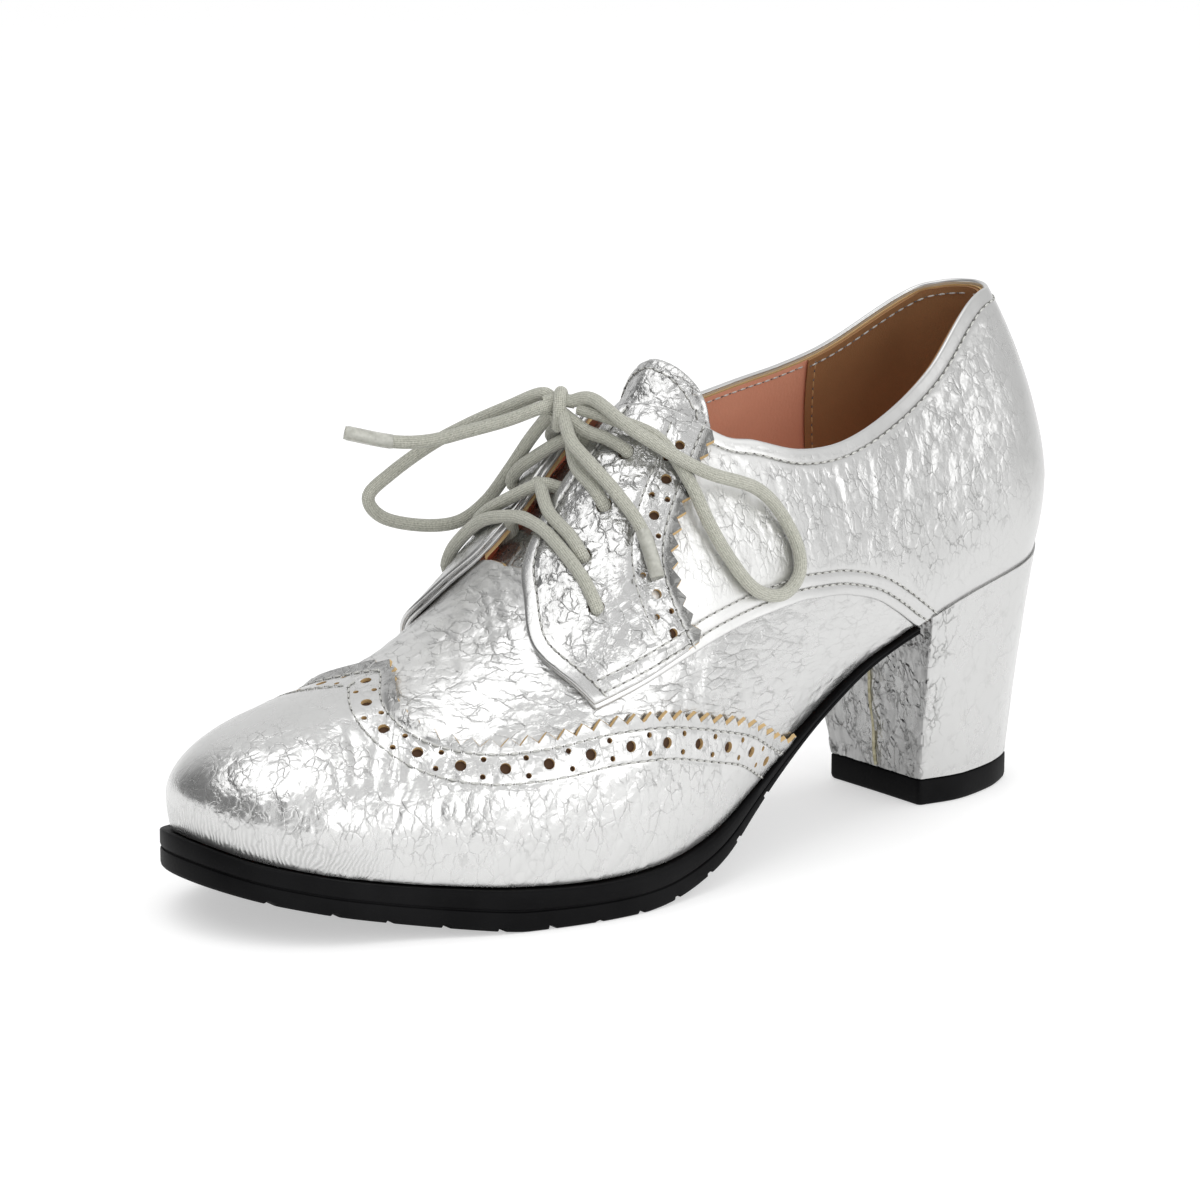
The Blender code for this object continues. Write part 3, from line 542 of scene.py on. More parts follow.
def tag(piece, name, values):
    """Give every point of a piece a number that its finish reads."""
    mark = piece.data.attributes.new(name, "FLOAT", "POINT")
    values = np.broadcast_to(np.asarray(values, np.float32), len(piece.data.vertices))
    mark.data.foreach_set("value", values.copy())


def unit(vectors):
    return vectors / np.linalg.norm(vectors, axis=-1, keepdims=True)


def travelled(points):
    """Length of a polyline up to each of its points."""
    return np.concatenate([[0], np.cumsum(np.linalg.norm(np.diff(points, axis=0), axis=1))])


def walk(points, run, at):
    """Points of a polyline at some places of its run."""
    return np.stack([np.interp(at, run, points[:, axis]) for axis in range(3)], -1)


def heel_loop(share):
    """Outline of the heel at a share of the way from the seat down to the lift, breast corners softened."""
    stations = np.linspace(0, BREAST, 90)
    at = np.interp(stations, [row.station for row in HEEL_FOOT], range(len(HEEL_FOOT)))
    foot = smooth([(row.x, row.half) for row in HEEL_FOOT], at)
    flanks = []
    for side in (1, -1):
        seat = outline(side * stations, 0.0)
        seat = np.column_stack([seat, sole_top(seat[:, 0]) + 0.15])
        base = np.column_stack([foot[:, 0], side * foot[:, 1], np.full(len(foot), LIFT_HEIGHT + SEAT_GAP)])
        flanks.append(seat * (1 - share) + base * share)
    ring = np.concatenate([flanks[0], flanks[1][::-1], flanks[0][:1]])
    run = travelled(ring)
    ring = walk(ring, run, np.linspace(0, run[-1], HEEL_POINTS, endpoint=False))
    return sum(np.roll(ring, shift, axis=0) for shift in (-2, -1, 0, 1, 2)) / 5


def heel_wall(loops):
    """Loops with the crumple of the wrapped foil: coarse and upright on the breast, faint at the back."""
    shaped = []
    for ring in loops:
        ahead = np.roll(ring, -1, axis=0) - np.roll(ring, 1, axis=0)
        out = unit(np.cross(ahead, np.array([0, 0, 1.0])))
        out *= np.sign((out * (ring - ring.mean(0))).sum())
        breast = ramp(0.5, 0.9, out[:, 0])
        tilt, fold = crumple(ring, (4.2, 3.4, 7.5), 3)
        relief = (0.12 + 0.5 * breast) * tilt - (0.02 + 0.16 * breast) * np.exp(-(fold / 0.12) ** 2)
        shaped.append(ring + relief[:, None] * out)
    return shaped


heel_shares = np.concatenate([[0.0, 0.004, 0.012], np.linspace(0.025, 0.985, 70), [0.994, 1.0]])
heel_rings = heel_wall([heel_loop(share) for share in heel_shares])
heel_rings[0] = heel_rings[1] * 0.99 + heel_rings[1].mean(0) * 0.01
heel_rings[-1] = heel_rings[-2] * 0.98 + heel_rings[-2].mean(0) * 0.02
heel_cover = silver("heel_cover", 3.4, (1.0, 1.0, 0.6), 1.0, 1.2, 0.28, 0.60)
# The breast's foil is a darker grey as painted shade, where it faces in under the shoe.
breast_cover = silver("breast_cover", 2.8, (1.2, 1.2, 0.45), 2.4, 3.4, 0.28, 0.42)
heel = stacked("heel_block_cover", heel_rings, [heel_cover, breast_cover])
# Faces that look forward take the breast's darker finish of painted shade.
breast_painted_shade_faces = [face.normal.x > BREAST_FACING for face in heel.data.polygons]
heel.data.polygons.foreach_set("material_index", np.array(breast_painted_shade_faces, np.int32))
heel_x = np.array([vertex.co.x for vertex in heel.data.vertices]) / MILLIMETRE + HEEL_BACK[0]
tag(heel, "crinkle", 0.16 + 0.84 * ramp(40.0, 44.0, heel_x))
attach(heel, "root")
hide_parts("heel_block")

lift_base = heel_loop(1.0)[:, :2]
lift_pull = unit(lift_base.mean(0) - lift_base)
lift_loops = [np.column_stack([lift_base + lift_pull * inset, np.full(len(lift_base), height)])
              for height, inset in LIFT_EDGE]
top_lift = stacked("heel_top_lift_rubber", lift_loops, [sole_rubber.look])
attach(top_lift, "root")
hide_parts("heel_top_lift")

wrap_seam = speckled("wrap_seam", 900.0, 3.0, (0.36, 0.33, 0.2), (0.62, 0.58, 0.42), 0.0002, Roughness=0.8)
seam_angles = np.linspace(0, 2 * np.pi, SEAM_SIDES, endpoint=False)
seam_ring = np.column_stack([SEAM_DEEP * np.cos(seam_angles), SEAM_HALF * np.sin(seam_angles),
                             np.zeros(SEAM_SIDES)])
seam_loops = []
for share in np.linspace(0.02, 0.985, 40):
    ring = heel_loop(share)
    front = ring[ring[:, 0] > ring[:, 0].max() - 6.0]
    front = front[np.argsort(front[:, 1])]
    x, z = (np.interp(SEAM_Y, front[:, 1], front[:, axis]) for axis in (0, 2))
    height = ring[:, 2].min() if share > 0.5 else z
    seam_loops.append(np.array([x, SEAM_Y + 0.25 * math.sin(share * 19.0), height]) + seam_ring)
seam = stacked("heel_wrap_seam", seam_loops, [wrap_seam])
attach(seam, "root")


# Insole and lining
# The footbed is pink leather. Pink leather lines the quarters and the vamp, and a brown suede counter lines
# the heel, laid over the pink and sewn along its front edge.
STEP, GIRTHS = 40, 241


def last_table():
    """Points and outward normals of the last, a row for each turn and a column for each share of the girth."""
    turns = np.arange(LAP * STEP) / STEP
    spine, heading, reach, bulge, rise, full, _ = (
        value[:, None] if value.ndim == 1 else value for value in section(turns))
    crown = along(RIDGE, "crown", spine)
    slope = (crown - along(RIDGE, "crown", spine - 2)) / 2
    forward = np.maximum(heading[:, :1], 0)
    foot = sole_top(spine + heading[:, :1] * reach)
    low = np.linspace(0, 1, 30, endpoint=False)[None]
    swing = np.linspace(0, math.pi / 2, 150)[None]
    widest = reach + bulge
    out = widest * np.maximum(np.cos(swing), 0) ** (2 / full)
    out[:, -1] = 0
    up = foot + rise + (crown - foot - rise) * np.sin(swing) ** (2 / full)
    up = up + slope * forward * out * (1 - out / widest) ** 1.5
    out = np.concatenate([reach + bulge * (1 - (1 - low) ** 2), out], 1)
    up = np.concatenate([foot + rise * low, up], 1)
    middle = along(RIDGE, "y", spine)
    points = np.stack([spine + heading[:, :1] * out, middle + heading[:, 1:] * out, up], -1)
    table = np.empty((len(turns), GIRTHS, 3))
    for number, row in enumerate(points):
        run = travelled(row)
        table[number] = walk(row, run / run[-1], np.linspace(0, 1, GIRTHS))

    pole = np.array([STATIONS[TIP].spine, RIDGE[-1].y])
    across = table[..., :2] - pole
    away = np.linalg.norm(across, axis=-1)
    high = table[..., 2] > 36.0
    ring = high & (away > 4.0) & (away < 15.0)

    def terms(flat):
        x, y = flat[..., 0], flat[..., 1]
        return np.stack([x ** a * y ** b for a in range(4) for b in range(4 - a)], -1)

    fit = np.linalg.lstsq(terms(across[ring]), table[..., 2][ring], rcond=None)[0]
    blend = np.where(high, ramp(3.0, 11.0, away), 1.0)
    table[..., 2] = table[..., 2] * blend + (terms(across) @ fit) * (1 - blend)

    around = np.roll(table, -1, 0) - np.roll(table, 1, 0)
    normals = np.cross(np.gradient(table, axis=1), around)
    normals = normals / np.maximum(np.linalg.norm(normals, axis=-1, keepdims=True), 1e-9)
    crest = unit(np.concatenate([-slope, np.zeros_like(slope), np.ones_like(slope)], 1))
    near = int(0.97 * (GIRTHS - 1))
    for column in range(near + 1, GIRTHS):
        share = (column - near) / (GIRTHS - 1 - near)
        normals[:, column] = normals[:, near] * (1 - share) + crest * share
    nudge = 0.05
    lean_x, lean_y = ((terms(across + step) - terms(across - step)) @ fit / (2 * nudge)
                      for step in (np.array([nudge, 0]), np.array([0, nudge])))
    dome = unit(np.stack([-lean_x, -lean_y, np.ones_like(lean_x)], -1))
    normals = unit(normals * blend[..., None] + dome * (1 - blend[..., None]))
    return np.concatenate([table, table[:1]]), np.concatenate([normals, normals[:1]])


LAST_POINTS, LAST_NORMALS = last_table()


def skin(turn, girth, lift=0.0):
    """Points of the last lifted outward, with their normals. A girth past 1 goes over the ridge."""
    turn, girth, lift = np.broadcast_arrays(*(np.asarray(value, float) for value in (turn, girth, lift)))
    over = girth > 1
    turn = np.where(over, -turn, turn) % LAP
    girth = np.clip(np.where(over, 2 - girth, girth), 0, 1)
    column = turn * STEP
    left = np.minimum(column.astype(int), LAP * STEP - 1)
    row = girth * (GIRTHS - 1)
    low = np.minimum(row.astype(int), GIRTHS - 2)
    part, rise = (column - left)[..., None], (row - low)[..., None]
    found = []
    for table in (LAST_POINTS, LAST_NORMALS):
        here = table[left, low] * (1 - rise) + table[left, low + 1] * rise
        there = table[left + 1, low] * (1 - rise) + table[left + 1, low + 1] * rise
        found.append(here * (1 - part) + there * part)
    points, normals = found
    normals = unit(normals)
    return points + lift[..., None] * normals, normals


def trail(edges, share):
    """Station and girth along an edge from its first row to its last."""
    return smooth([tuple(edge) for edge in edges], np.asarray(share) * (len(edges) - 1))


DOUBLED = 0.02


def quilt(points, normals):
    """Faces of a grid of points, columns round the foot and rows up it, with doubled points made one."""
    columns, rows = points.shape[:2]
    flat, flat_normals = points.reshape(-1, 3), normals.reshape(-1, 3)
    cells = np.round(flat / DOUBLED).astype(np.int64)
    _, first, back = np.unique(cells, axis=0, return_index=True, return_inverse=True)
    number = np.arange(columns * rows).reshape(columns, rows)
    squares = np.stack([number[:-1, :-1], number[:-1, 1:], number[1:, 1:], number[1:, :-1]], -1)
    faces = [tuple(dict.fromkeys(square)) for square in back.ravel()[squares.reshape(-1, 4)].tolist()]
    return flat[first], flat_normals[first], [face for face in faces if len(face) > 2], first


CUT_EDGE = [(0.1, 0.08), (0.4, 0.22), (0.7, 0.36), (0.96, 0.46)]
HIDE_SHARP = 60


def hide(name, points, normals, wall, looks, relief=0.0, folded=1.0, droop=0.0, slide=None):
    """Piece of leather with a wall, from a grid on its face side. A folded edge is rounded and keeps the
    face's finish, and a cut edge is square and shows the third finish. The whole wall sinks by its droop, and
    rises where that is negative. A slide moves the points along the face, as a pinked edge's teeth need."""
    face_points, face_normals, faces, first = quilt(points, normals)
    if slide is not None:
        face_points = face_points + slide.reshape(-1, 3)[first]
    count = points.shape[0] * points.shape[1]
    relief, folded, droop, wall = (np.broadcast_to(np.asarray(value, float).reshape(-1), count)[first]
                                   for value in (relief, folded, droop, wall))
    face_points = face_points - droop[:, None] * face_normals
    corners = np.array([face[:3] for face in faces])
    start, onward, over = (face_points[corners[:, corner]] for corner in range(3))
    if (np.cross(onward - start, over - start) * face_normals[corners[:, 0]]).sum() < 0:
        faces = [face[::-1] for face in faces]
    total = len(face_points)
    outer = face_points + relief[:, None] * face_normals
    inner = face_points - wall[:, None] * face_normals
    used = {pair for face in faces for pair in zip(face, face[1:] + face[:1])}
    rim = [(a, b) for a, b in used if (b, a) not in used]
    out = {}
    for a, b in rim:
        for corner in (a, b):
            push = np.cross(face_points[b] - face_points[a], face_normals[corner])
            out[corner] = out.get(corner, 0) + push / (np.linalg.norm(push) + 1e-12)
    steps = len(CUT_EDGE) + 1
    ring, extra = {}, []
    for corner, push in out.items():
        push = push / (np.linalg.norm(push) + 1e-12)
        middle, radius = (inner[corner] + outer[corner]) / 2, wall[corner] / 2
        ring[corner] = [corner]
        for step, (down, wide) in enumerate(CUT_EDGE, 1):
            turn = math.pi * step / steps
            cut = outer[corner] * (1 - down) + inner[corner] * down + push * wide
            bow = middle + face_normals[corner] * radius * math.cos(turn) + push * radius * math.sin(turn)
            ring[corner].append(2 * total + len(extra))
            extra.append(cut * (1 - folded[corner]) + bow * folded[corner])
        ring[corner].append(total + corner)
    choice = [0] * len(faces) + [1] * len(faces)
    whole = faces + [tuple(total + corner for corner in face[::-1]) for face in faces]
    for a, b in rim:
        for step in range(steps):
            whole.append((ring[b][step], ring[a][step], ring[a][step + 1], ring[b][step + 1]))
            choice.append(0 if folded[a] + folded[b] > 1.0 or step == 0 else 2)
    return solid(name, np.concatenate([outer, inner, extra]), whole, looks, choice, HIDE_SHARP), first


def tag_face(piece, name, values, first):
    """Number for the points of a hide's face side, and zero for its back and edges."""
    marks = np.zeros(len(piece.data.vertices), np.float32)
    marks[:len(first)] = np.asarray(values).reshape(-1)[first]
    tag(piece, name, marks)


def leather(name, colour, dark, scale, roughness, depth=0.25):
    """Plain lining leather or suede with a fine grain."""
    lining = Finish(name)
    spot = lining.place()
    cloud = lining.noise(spot, 90.0, 5.0, Roughness=0.6)
    pores = {"Vector": spot, "Scale": scale}
    grain = lining.node("ShaderNodeTexVoronoi", {"feature": "F1"}, pores, "Distance")
    nap = lining.noise(spot, scale * 0.8, 4.0)
    mixed = lining.mix(cloud * 0.7 + nap * 0.3, (*dark, 1.0), (*colour, 1.0))
    lining.set(Base_Color=mixed, Roughness=cloud * 0.2 + (roughness - 0.1))
    lining.bump(grain * 0.6 + nap * 0.7, 0.00025, depth)
    return lining.look


pink_lining = leather("pink_lining", (0.83, 0.42, 0.28), (0.71, 0.33, 0.22), 1300.0, 0.5)
brown_suede = leather("brown_suede", (0.38, 0.20, 0.085), (0.28, 0.14, 0.055), 2600.0, 0.85, 0.4)
raw_edge = leather("raw_edge", (0.62, 0.44, 0.22), (0.48, 0.32, 0.14), 1500.0, 0.8)

Edge = namedtuple("Edge", "station girth")
TOPLINE_LATERAL = [Edge(0, 0.765), Edge(1, 0.764), Edge(2, 0.752), Edge(2.75, 0.642), Edge(3.4, 0.597),
                   Edge(3.95, 0.593), Edge(4.5, 0.634), Edge(5.0, 0.705), Edge(5.42, 0.768), Edge(5.98, 0.962)]
TOPLINE_MEDIAL = [Edge(0, 0.765), Edge(1, 0.755), Edge(2, 0.712), Edge(2.75, 0.672), Edge(3.4, 0.680),
                  Edge(3.95, 0.700), Edge(4.5, 0.718), Edge(5.0, 0.745), Edge(5.42, 0.785), Edge(5.98, 0.930)]
ARCH_LINE = [Edge(0, 0), Edge(1, 0), Edge(2, 0), Edge(2.9, 0), Edge(3.4, 0.10),
             Edge(4.0, 0.245), Edge(4.6, 0.33), Edge(5.4, 0.39), Edge(6.27, 0.425), Edge(7.23, 0.455)]
ARCH_RISE = [Edge(3.05, 0.0), Edge(3.2, 0.045), Edge(3.4, 0.102), Edge(3.71, 0.179), Edge(4.14, 0.26),
             Edge(4.5, 0.307), Edge(4.82, 0.341), Edge(5.4, 0.38), Edge(6.27, 0.424), Edge(7.23, 0.455)]
FACING_LATERAL = [Edge(7.23, 0.455), Edge(7.44, 0.67), Edge(7.26, 0.835), Edge(7.10, 0.912),
                  Edge(6.80, 0.955), Edge(6.40, 0.960), Edge(5.98, 0.962)]
FACING_MEDIAL = [Edge(7.23, 0.455), Edge(7.43, 0.665), Edge(7.27, 0.79), Edge(7.10, 0.875),
                 Edge(6.80, 0.915), Edge(6.40, 0.925), Edge(5.98, 0.930)]
VAMP_EDGE = [Edge(2.75, 0.12), Edge(3.0, 0.14), Edge(3.4, 0.24), Edge(4.0, 0.35), Edge(4.6, 0.42),
             Edge(5.4, 0.47), Edge(6.2, 0.51), Edge(6.85, 0.55), Edge(7.04, 0.60), Edge(7.10, 0.80),
             Edge(7.16, 1.0)]
QUARTER_DEPTH, FACING_RISE = -0.6, 0.8
VAMP_DEPTH = -1.3
INSOLE_EDGE = 3.5
INSOLE_RIM = ((2.1, INSOLE_EDGE + 1.2), (2.05, INSOLE_EDGE + 0.4), (1.8, INSOLE_EDGE), (0.1, INSOLE_EDGE))
LINING_STEP, VAMP_STEP, COUNTER_STEP = 1.25, 1.75, 0.75
LINING_WALL, COUNTER_WALL, VAMP_LINING_WALL = 0.7, 0.8, 0.5
LINING_TOP = 0.992


def quarter_lift(station):
    """The facings rise off the vamp towards the throat."""
    return QUARTER_DEPTH + FACING_RISE * ramp(5.2, 7.0, station)


def lining_lift(station, girth):
    """The lining lies on the quarter's back, and on the vamp's back lower down."""
    edge = np.interp(station, [row.station for row in VAMP_EDGE], [row.girth for row in VAMP_EDGE])
    drop = VAMP_STEP * (1 - ramp(edge - 0.01, edge + 0.05, girth)) * ramp(2.4, 2.9, station)
    return quarter_lift(station) - LINING_STEP - drop


def arch(onward):
    """Lower edge of a quarter: along the feather to the heel breast, then up over the waist at an angle."""
    station = trail(ARCH_LINE, onward)[..., 0]
    rise = trail(ARCH_RISE, np.linspace(0, 1, 300))
    return np.stack([station, np.interp(station, rise[:, 0], rise[:, 1])], -1)


def quarter_spots(onward, up, side, low_line=None):
    """Stations and girths of a quarter: onward from heel to throat, up from the sole to the topline."""
    topline = TOPLINE_LATERAL if side > 0 else TOPLINE_MEDIAL
    facing = FACING_LATERAL if side > 0 else FACING_MEDIAL
    onward, up = np.broadcast_arrays(np.asarray(onward, float), np.asarray(up, float))
    low = trail(low_line, onward) if low_line else arch(onward)
    high, front = trail(topline, onward), trail(facing, up)
    rise = up[..., None]
    straight = np.array(facing[0]) * (1 - rise) + np.array(facing[-1]) * rise
    pull = np.maximum(0.0, (onward - 0.3) / 0.7) ** 2.2
    spots = low * (1 - rise) + high * rise + (front - straight) * pull[..., None]
    return spots[..., 0], spots[..., 1]


def both_sides(onward, ups, lift, low_line=None, lean=0.0):
    """Grid over both quarters from the medial throat round the heel to the lateral throat, with its turns. Its
    front edges lean towards the heel below the topline."""
    columns = []
    for side in (-1, 1):
        leaning = onward[:, None] * (1 - lean * (1 - ups[None]))
        station, girth = quarter_spots(leaning, ups[None], side, low_line)
        columns.append((side * station, girth, lift(station, girth)))
    turn, girth, lifts = (np.concatenate([columns[0][part][:0:-1], columns[1][part]]) for part in range(3))
    return *skin(turn, girth, lifts), turn


insole_stations = spans(0, (2, 30), (9, 60), (TIP, 40))
insole_turns = np.concatenate([insole_stations, LAP - insole_stations[-2:0:-1]])
insole_loops = []
for height, inset in INSOLE_RIM:
    flat = outline(insole_turns, inset)
    insole_loops.append(np.column_stack([flat, sole_top(flat[:, 0]) + height]))
insole_count, insole_levels = len(insole_turns), len(INSOLE_RIM) - 1
insole_faces = [face[:1] + face[:0:-1] for face in walls(insole_levels, insole_count)]
for here in range(insole_count // 2):
    corners = [here, here + 1, (insole_count - here - 1) % insole_count, (insole_count - here) % insole_count]
    insole_faces.append(tuple(dict.fromkeys(corners)))
    under = [insole_levels * insole_count + corner for corner in corners[::-1]]
    insole_faces.append(tuple(dict.fromkeys(under)))
insole = solid("insole_footbed", np.concatenate(insole_loops), insole_faces, [pink_lining])
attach(insole, "root")
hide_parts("insole")

LINING_FLOOR = [Edge(0, 0.008), Edge(1, 0.008), Edge(2, 0.008), Edge(2.88, 0.008), Edge(3.4, 0.008),
                Edge(4.0, 0.008), Edge(4.6, 0.008), Edge(5.4, 0.01), Edge(6.27, 0.12), Edge(7.23, 0.455)]
COUNTER_END, COUNTER_LEAN = 0.385, 0.27
lining_up = np.linspace(0, LINING_TOP, 50)
lining_points, lining_normals, _ = both_sides(np.linspace(0, 1, 120), lining_up, lining_lift, LINING_FLOOR)
lining, _ = hide("quarter_lining", lining_points, lining_normals, LINING_WALL,
                 [pink_lining, pink_lining, raw_edge], folded=0.0)
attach(lining, "root")
counter_points, counter_normals, _ = both_sides(
    np.linspace(0, COUNTER_END, 70), lining_up,
    lambda station, girth: lining_lift(station, girth) - COUNTER_STEP, LINING_FLOOR, COUNTER_LEAN)
counter, _ = hide("heel_counter_lining", counter_points, counter_normals, COUNTER_WALL, [brown_suede] * 3,
                  folded=0.0)
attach(counter, "root")
vamp_lining_turns = spans(6.6, (9, 40), (TIP, 24))
vamp_lining_turns = np.concatenate([vamp_lining_turns, LAP - vamp_lining_turns[-2::-1]])
vamp_lining_top = np.where(np.minimum(vamp_lining_turns, LAP - vamp_lining_turns) < 7.16, 0.62, 1.0)
vamp_lining_girth = vamp_lining_top[:, None] * np.linspace(0.03, 1, 30)[None]
vamp_lining_grid = skin(vamp_lining_turns[:, None], vamp_lining_girth, VAMP_DEPTH - 1.0)
vamp_lining, _ = hide("vamp_lining", *vamp_lining_grid, VAMP_LINING_WALL, [pink_lining] * 3, folded=0.0)
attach(vamp_lining, "root")


# Vamp
# The forepart, one piece of crinkled silver foil leather lasted over the toe and back along both sides to
# the heel breast. It creases across the foot behind the cap, where the toes bend.
Crease = namedtuple("Crease", "station girth station_end girth_end depth width")
VAMP_CREASES = [
    Crease(7.35, 0.97, 7.75, 0.60, 0.35, 1.1), Crease(7.55, 1.0, 7.95, 0.66, 0.30, 1.0),
    Crease(7.75, 0.98, 8.10, 0.70, 0.35, 1.2), Crease(7.95, 1.0, 8.25, 0.78, 0.25, 1.0),
    Crease(7.50, 0.62, 7.95, 0.56, 0.28, 0.9), Crease(7.60, 0.56, 8.15, 0.52, 0.25, 0.9),
    Crease(7.55, 0.72, 7.95, 0.68, 0.22, 0.8), Crease(7.50, 0.80, 7.85, 0.77, 0.22, 0.8),
    Crease(6.95, 0.44, 7.15, 0.36, 0.20, 0.8), Crease(6.45, 0.40, 6.65, 0.30, 0.22, 0.8),
    Crease(5.95, 0.37, 6.20, 0.24, 0.22, 0.8), Crease(5.55, 0.34, 5.70, 0.20, 0.20, 0.9),
]


def creases(points, rows, side=1):
    """Height of soft troughs with a low ridge on each hand, placed by station and girth on one side."""
    height = np.zeros(len(points))
    share = np.linspace(0, 1, 9)
    for row in rows:
        station = row.station * (1 - share) + row.station_end * share
        line, _ = skin(side * station, row.girth * (1 - share) + row.girth_end * share)
        away = np.full(len(points), 1e9)
        for a, b in zip(line, line[1:]):
            span = b - a
            part = np.clip((points - a) @ span / (span @ span), 0, 1)
            away = np.minimum(away, np.linalg.norm(points - a - part[:, None] * span, axis=1))
        banks = 0.45 * np.exp(-((away - 1.9 * row.width) / row.width) ** 2)
        height += row.depth * (banks - np.exp(-(away / row.width) ** 2))
    return height


def foil_relief(points, cell, amount, seed):
    """The foil's crumple in the surface itself."""
    tilt, fold = crumple(points, cell, seed)
    fine_tilt, fine_fold = crumple(points, np.asarray(cell) * 0.5, seed + 7)
    coarse = 0.55 * tilt - 0.10 * np.exp(-(fold / 0.10) ** 2)
    return amount * (coarse + 0.22 * fine_tilt - 0.05 * np.exp(-(fine_fold / 0.12) ** 2))


VAMP_WALL = 0.9
vamp_half = spans(2.75, (7.0, 130), (7.2, 14), (8.6, 64), (TIP, 34))
vamp_turns = np.concatenate([vamp_half, LAP - vamp_half[-2::-1]])
vamp_station = np.minimum(vamp_turns, LAP - vamp_turns)
vamp_top = np.interp(vamp_station, [edge.station for edge in VAMP_EDGE], [edge.girth for edge in VAMP_EDGE])
vamp_girth = vamp_top[:, None] * np.linspace(0, 1, 76)[None]
vamp_points, vamp_normals = skin(vamp_turns[:, None], vamp_girth, VAMP_DEPTH)
vamp_flat = vamp_points.reshape(-1, 3)
vamp_relief = foil_relief(vamp_flat, (5.0, 5.0, 3.4), 0.42, 11)
vamp_relief += creases(vamp_flat, VAMP_CREASES) + creases(vamp_flat, VAMP_CREASES, -1)
vamp_silver = silver("vamp_silver", 2.2, (0.4, 0.4, 1.3), 1.9, 1.5, tone=0.62, painted_ditch_weight=0.65)
back_cloth = leather("back_cloth", (0.55, 0.5, 0.42), (0.42, 0.38, 0.32), 2200.0, 0.9)
vamp, vamp_first = hide("vamp_foil", vamp_points, vamp_normals, VAMP_WALL,
                        [vamp_silver, back_cloth, raw_edge], vamp_relief, folded=0.0)
vamp_worked = (0.3 + 0.7 * ramp(4.2, 6.0, vamp_station))[:, None]
tag_face(vamp, "crinkle", 0.1 + 0.9 * ramp(0.03, 0.2, vamp_girth) * vamp_worked, vamp_first)
# Painted light: the vamp is painted lighter high on the instep and toe.
tag_face(vamp, "haze_and_painted_light", 0.5 * ramp(0.7, 0.9, vamp_girth), vamp_first)
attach(vamp, "root")
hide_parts("upper")


# Quarters
# Both quarters in one run round the heel, folded over at the topline, the facings and the lower edge, and
# sewn down over the vamp with two rows along the arch. Each facing has four plain punched lace holes.
HOLES = [Edge(6.96, 0.66), Edge(6.85, 0.78), Edge(6.54, 0.825), Edge(6.20, 0.868)]
HOLE, HOLE_SIDES, HOLE_REACH = 3.6, 20, 7.0
QUARTER_WALL = 1.2
PULL_DEPTH, PULL_WIDTH = 0.22, 0.6
STITCH, RUN_OUT = 1.9, 9.0
QUARTER_CREASES = [
    Crease(5.30, 0.72, 5.10, 0.52, 0.22, 0.9), Crease(4.95, 0.66, 4.80, 0.46, 0.22, 0.9),
    Crease(4.55, 0.60, 4.45, 0.42, 0.20, 0.8), Crease(4.15, 0.56, 4.10, 0.36, 0.22, 0.9),
    Crease(3.70, 0.55, 3.75, 0.32, 0.20, 0.9), Crease(3.25, 0.54, 3.35, 0.26, 0.18, 0.9),
    Crease(2.75, 0.56, 3.05, 0.36, 0.20, 1.0), Crease(2.30, 0.60, 2.75, 0.52, 0.22, 1.0),
    Crease(2.35, 0.52, 2.85, 0.46, 0.20, 0.9), Crease(5.60, 0.66, 5.55, 0.50, 0.20, 0.8),
]
NEAREST = kdtree.KDTree(LAP * STEP * GIRTHS)
for number, point in enumerate(LAST_POINTS[:-1].reshape(-1, 3).tolist()):
    NEAREST.insert(point, number)
NEAREST.balance()


def press(points, lift):
    """Put points that lie near the last on it, at a lift, with their normals."""
    points = np.asarray(points, float)
    found = [NEAREST.find(point)[1] for point in points.tolist()]
    base, normals = LAST_POINTS[:-1].reshape(-1, 3)[found], LAST_NORMALS[:-1].reshape(-1, 3)[found]
    high = ((points - base) * normals).sum(1)
    return points - normals * (high - lift)[:, None], normals


def pace(points, spacing):
    """Polyline with points at an even spacing."""
    points = np.asarray(points, float)
    run = travelled(points)
    return walk(points, run, np.linspace(0, run[-1], max(2, int(round(run[-1] / spacing)) + 1)))


def beside(line, distance, towards, rise=0.1):
    """Line at a distance from another on its surface, on the side of a spot (turn, girth), a little proud."""
    line = pace(line, 1.0)
    on_last, normals = press(line, 0.0)
    high = ((line - on_last) * normals).sum(1) + rise
    inward = unit(np.cross(normals, np.gradient(line, axis=0)))
    goal, _ = skin(*towards)
    inward *= np.sign(((goal - line) * inward).sum())
    return press(line + inward * distance, high)[0]


def away_from(points, lines):
    """Distance of every point from the nearest of some polylines."""
    marks = np.concatenate([pace(line, 0.35) for line in lines])
    found = kdtree.KDTree(len(marks))
    for number, mark in enumerate(marks.tolist()):
        found.insert(mark, number)
    found.balance()
    return np.array([found.find(point)[2] for point in np.asarray(points).tolist()])


def pulled(points, lines):
    """Shallow channel that the thread pulls into the leather."""
    return -PULL_DEPTH * np.exp(-(away_from(points, lines) / PULL_WIDTH) ** 2)


def rounded(points, times):
    """Polyline with its small wiggles taken out."""
    points = np.asarray(points, float)
    for _ in range(times):
        points[1:-1] = (points[:-2] + 2 * points[1:-1] + points[2:]) / 4
    return points


thread = speckled("silver_thread", 2500.0, 2.0, (0.40, 0.40, 0.38), (0.66, 0.66, 0.63), 0.0001,
                  Roughness=0.5, Metallic=0.25)
# Dark marks between the stitches paint the shade in the needle holes.
needle_mark = speckled("needle_mark", 1500.0, 2.0, (0.09, 0.087, 0.08), (0.2, 0.19, 0.175), Roughness=0.7)


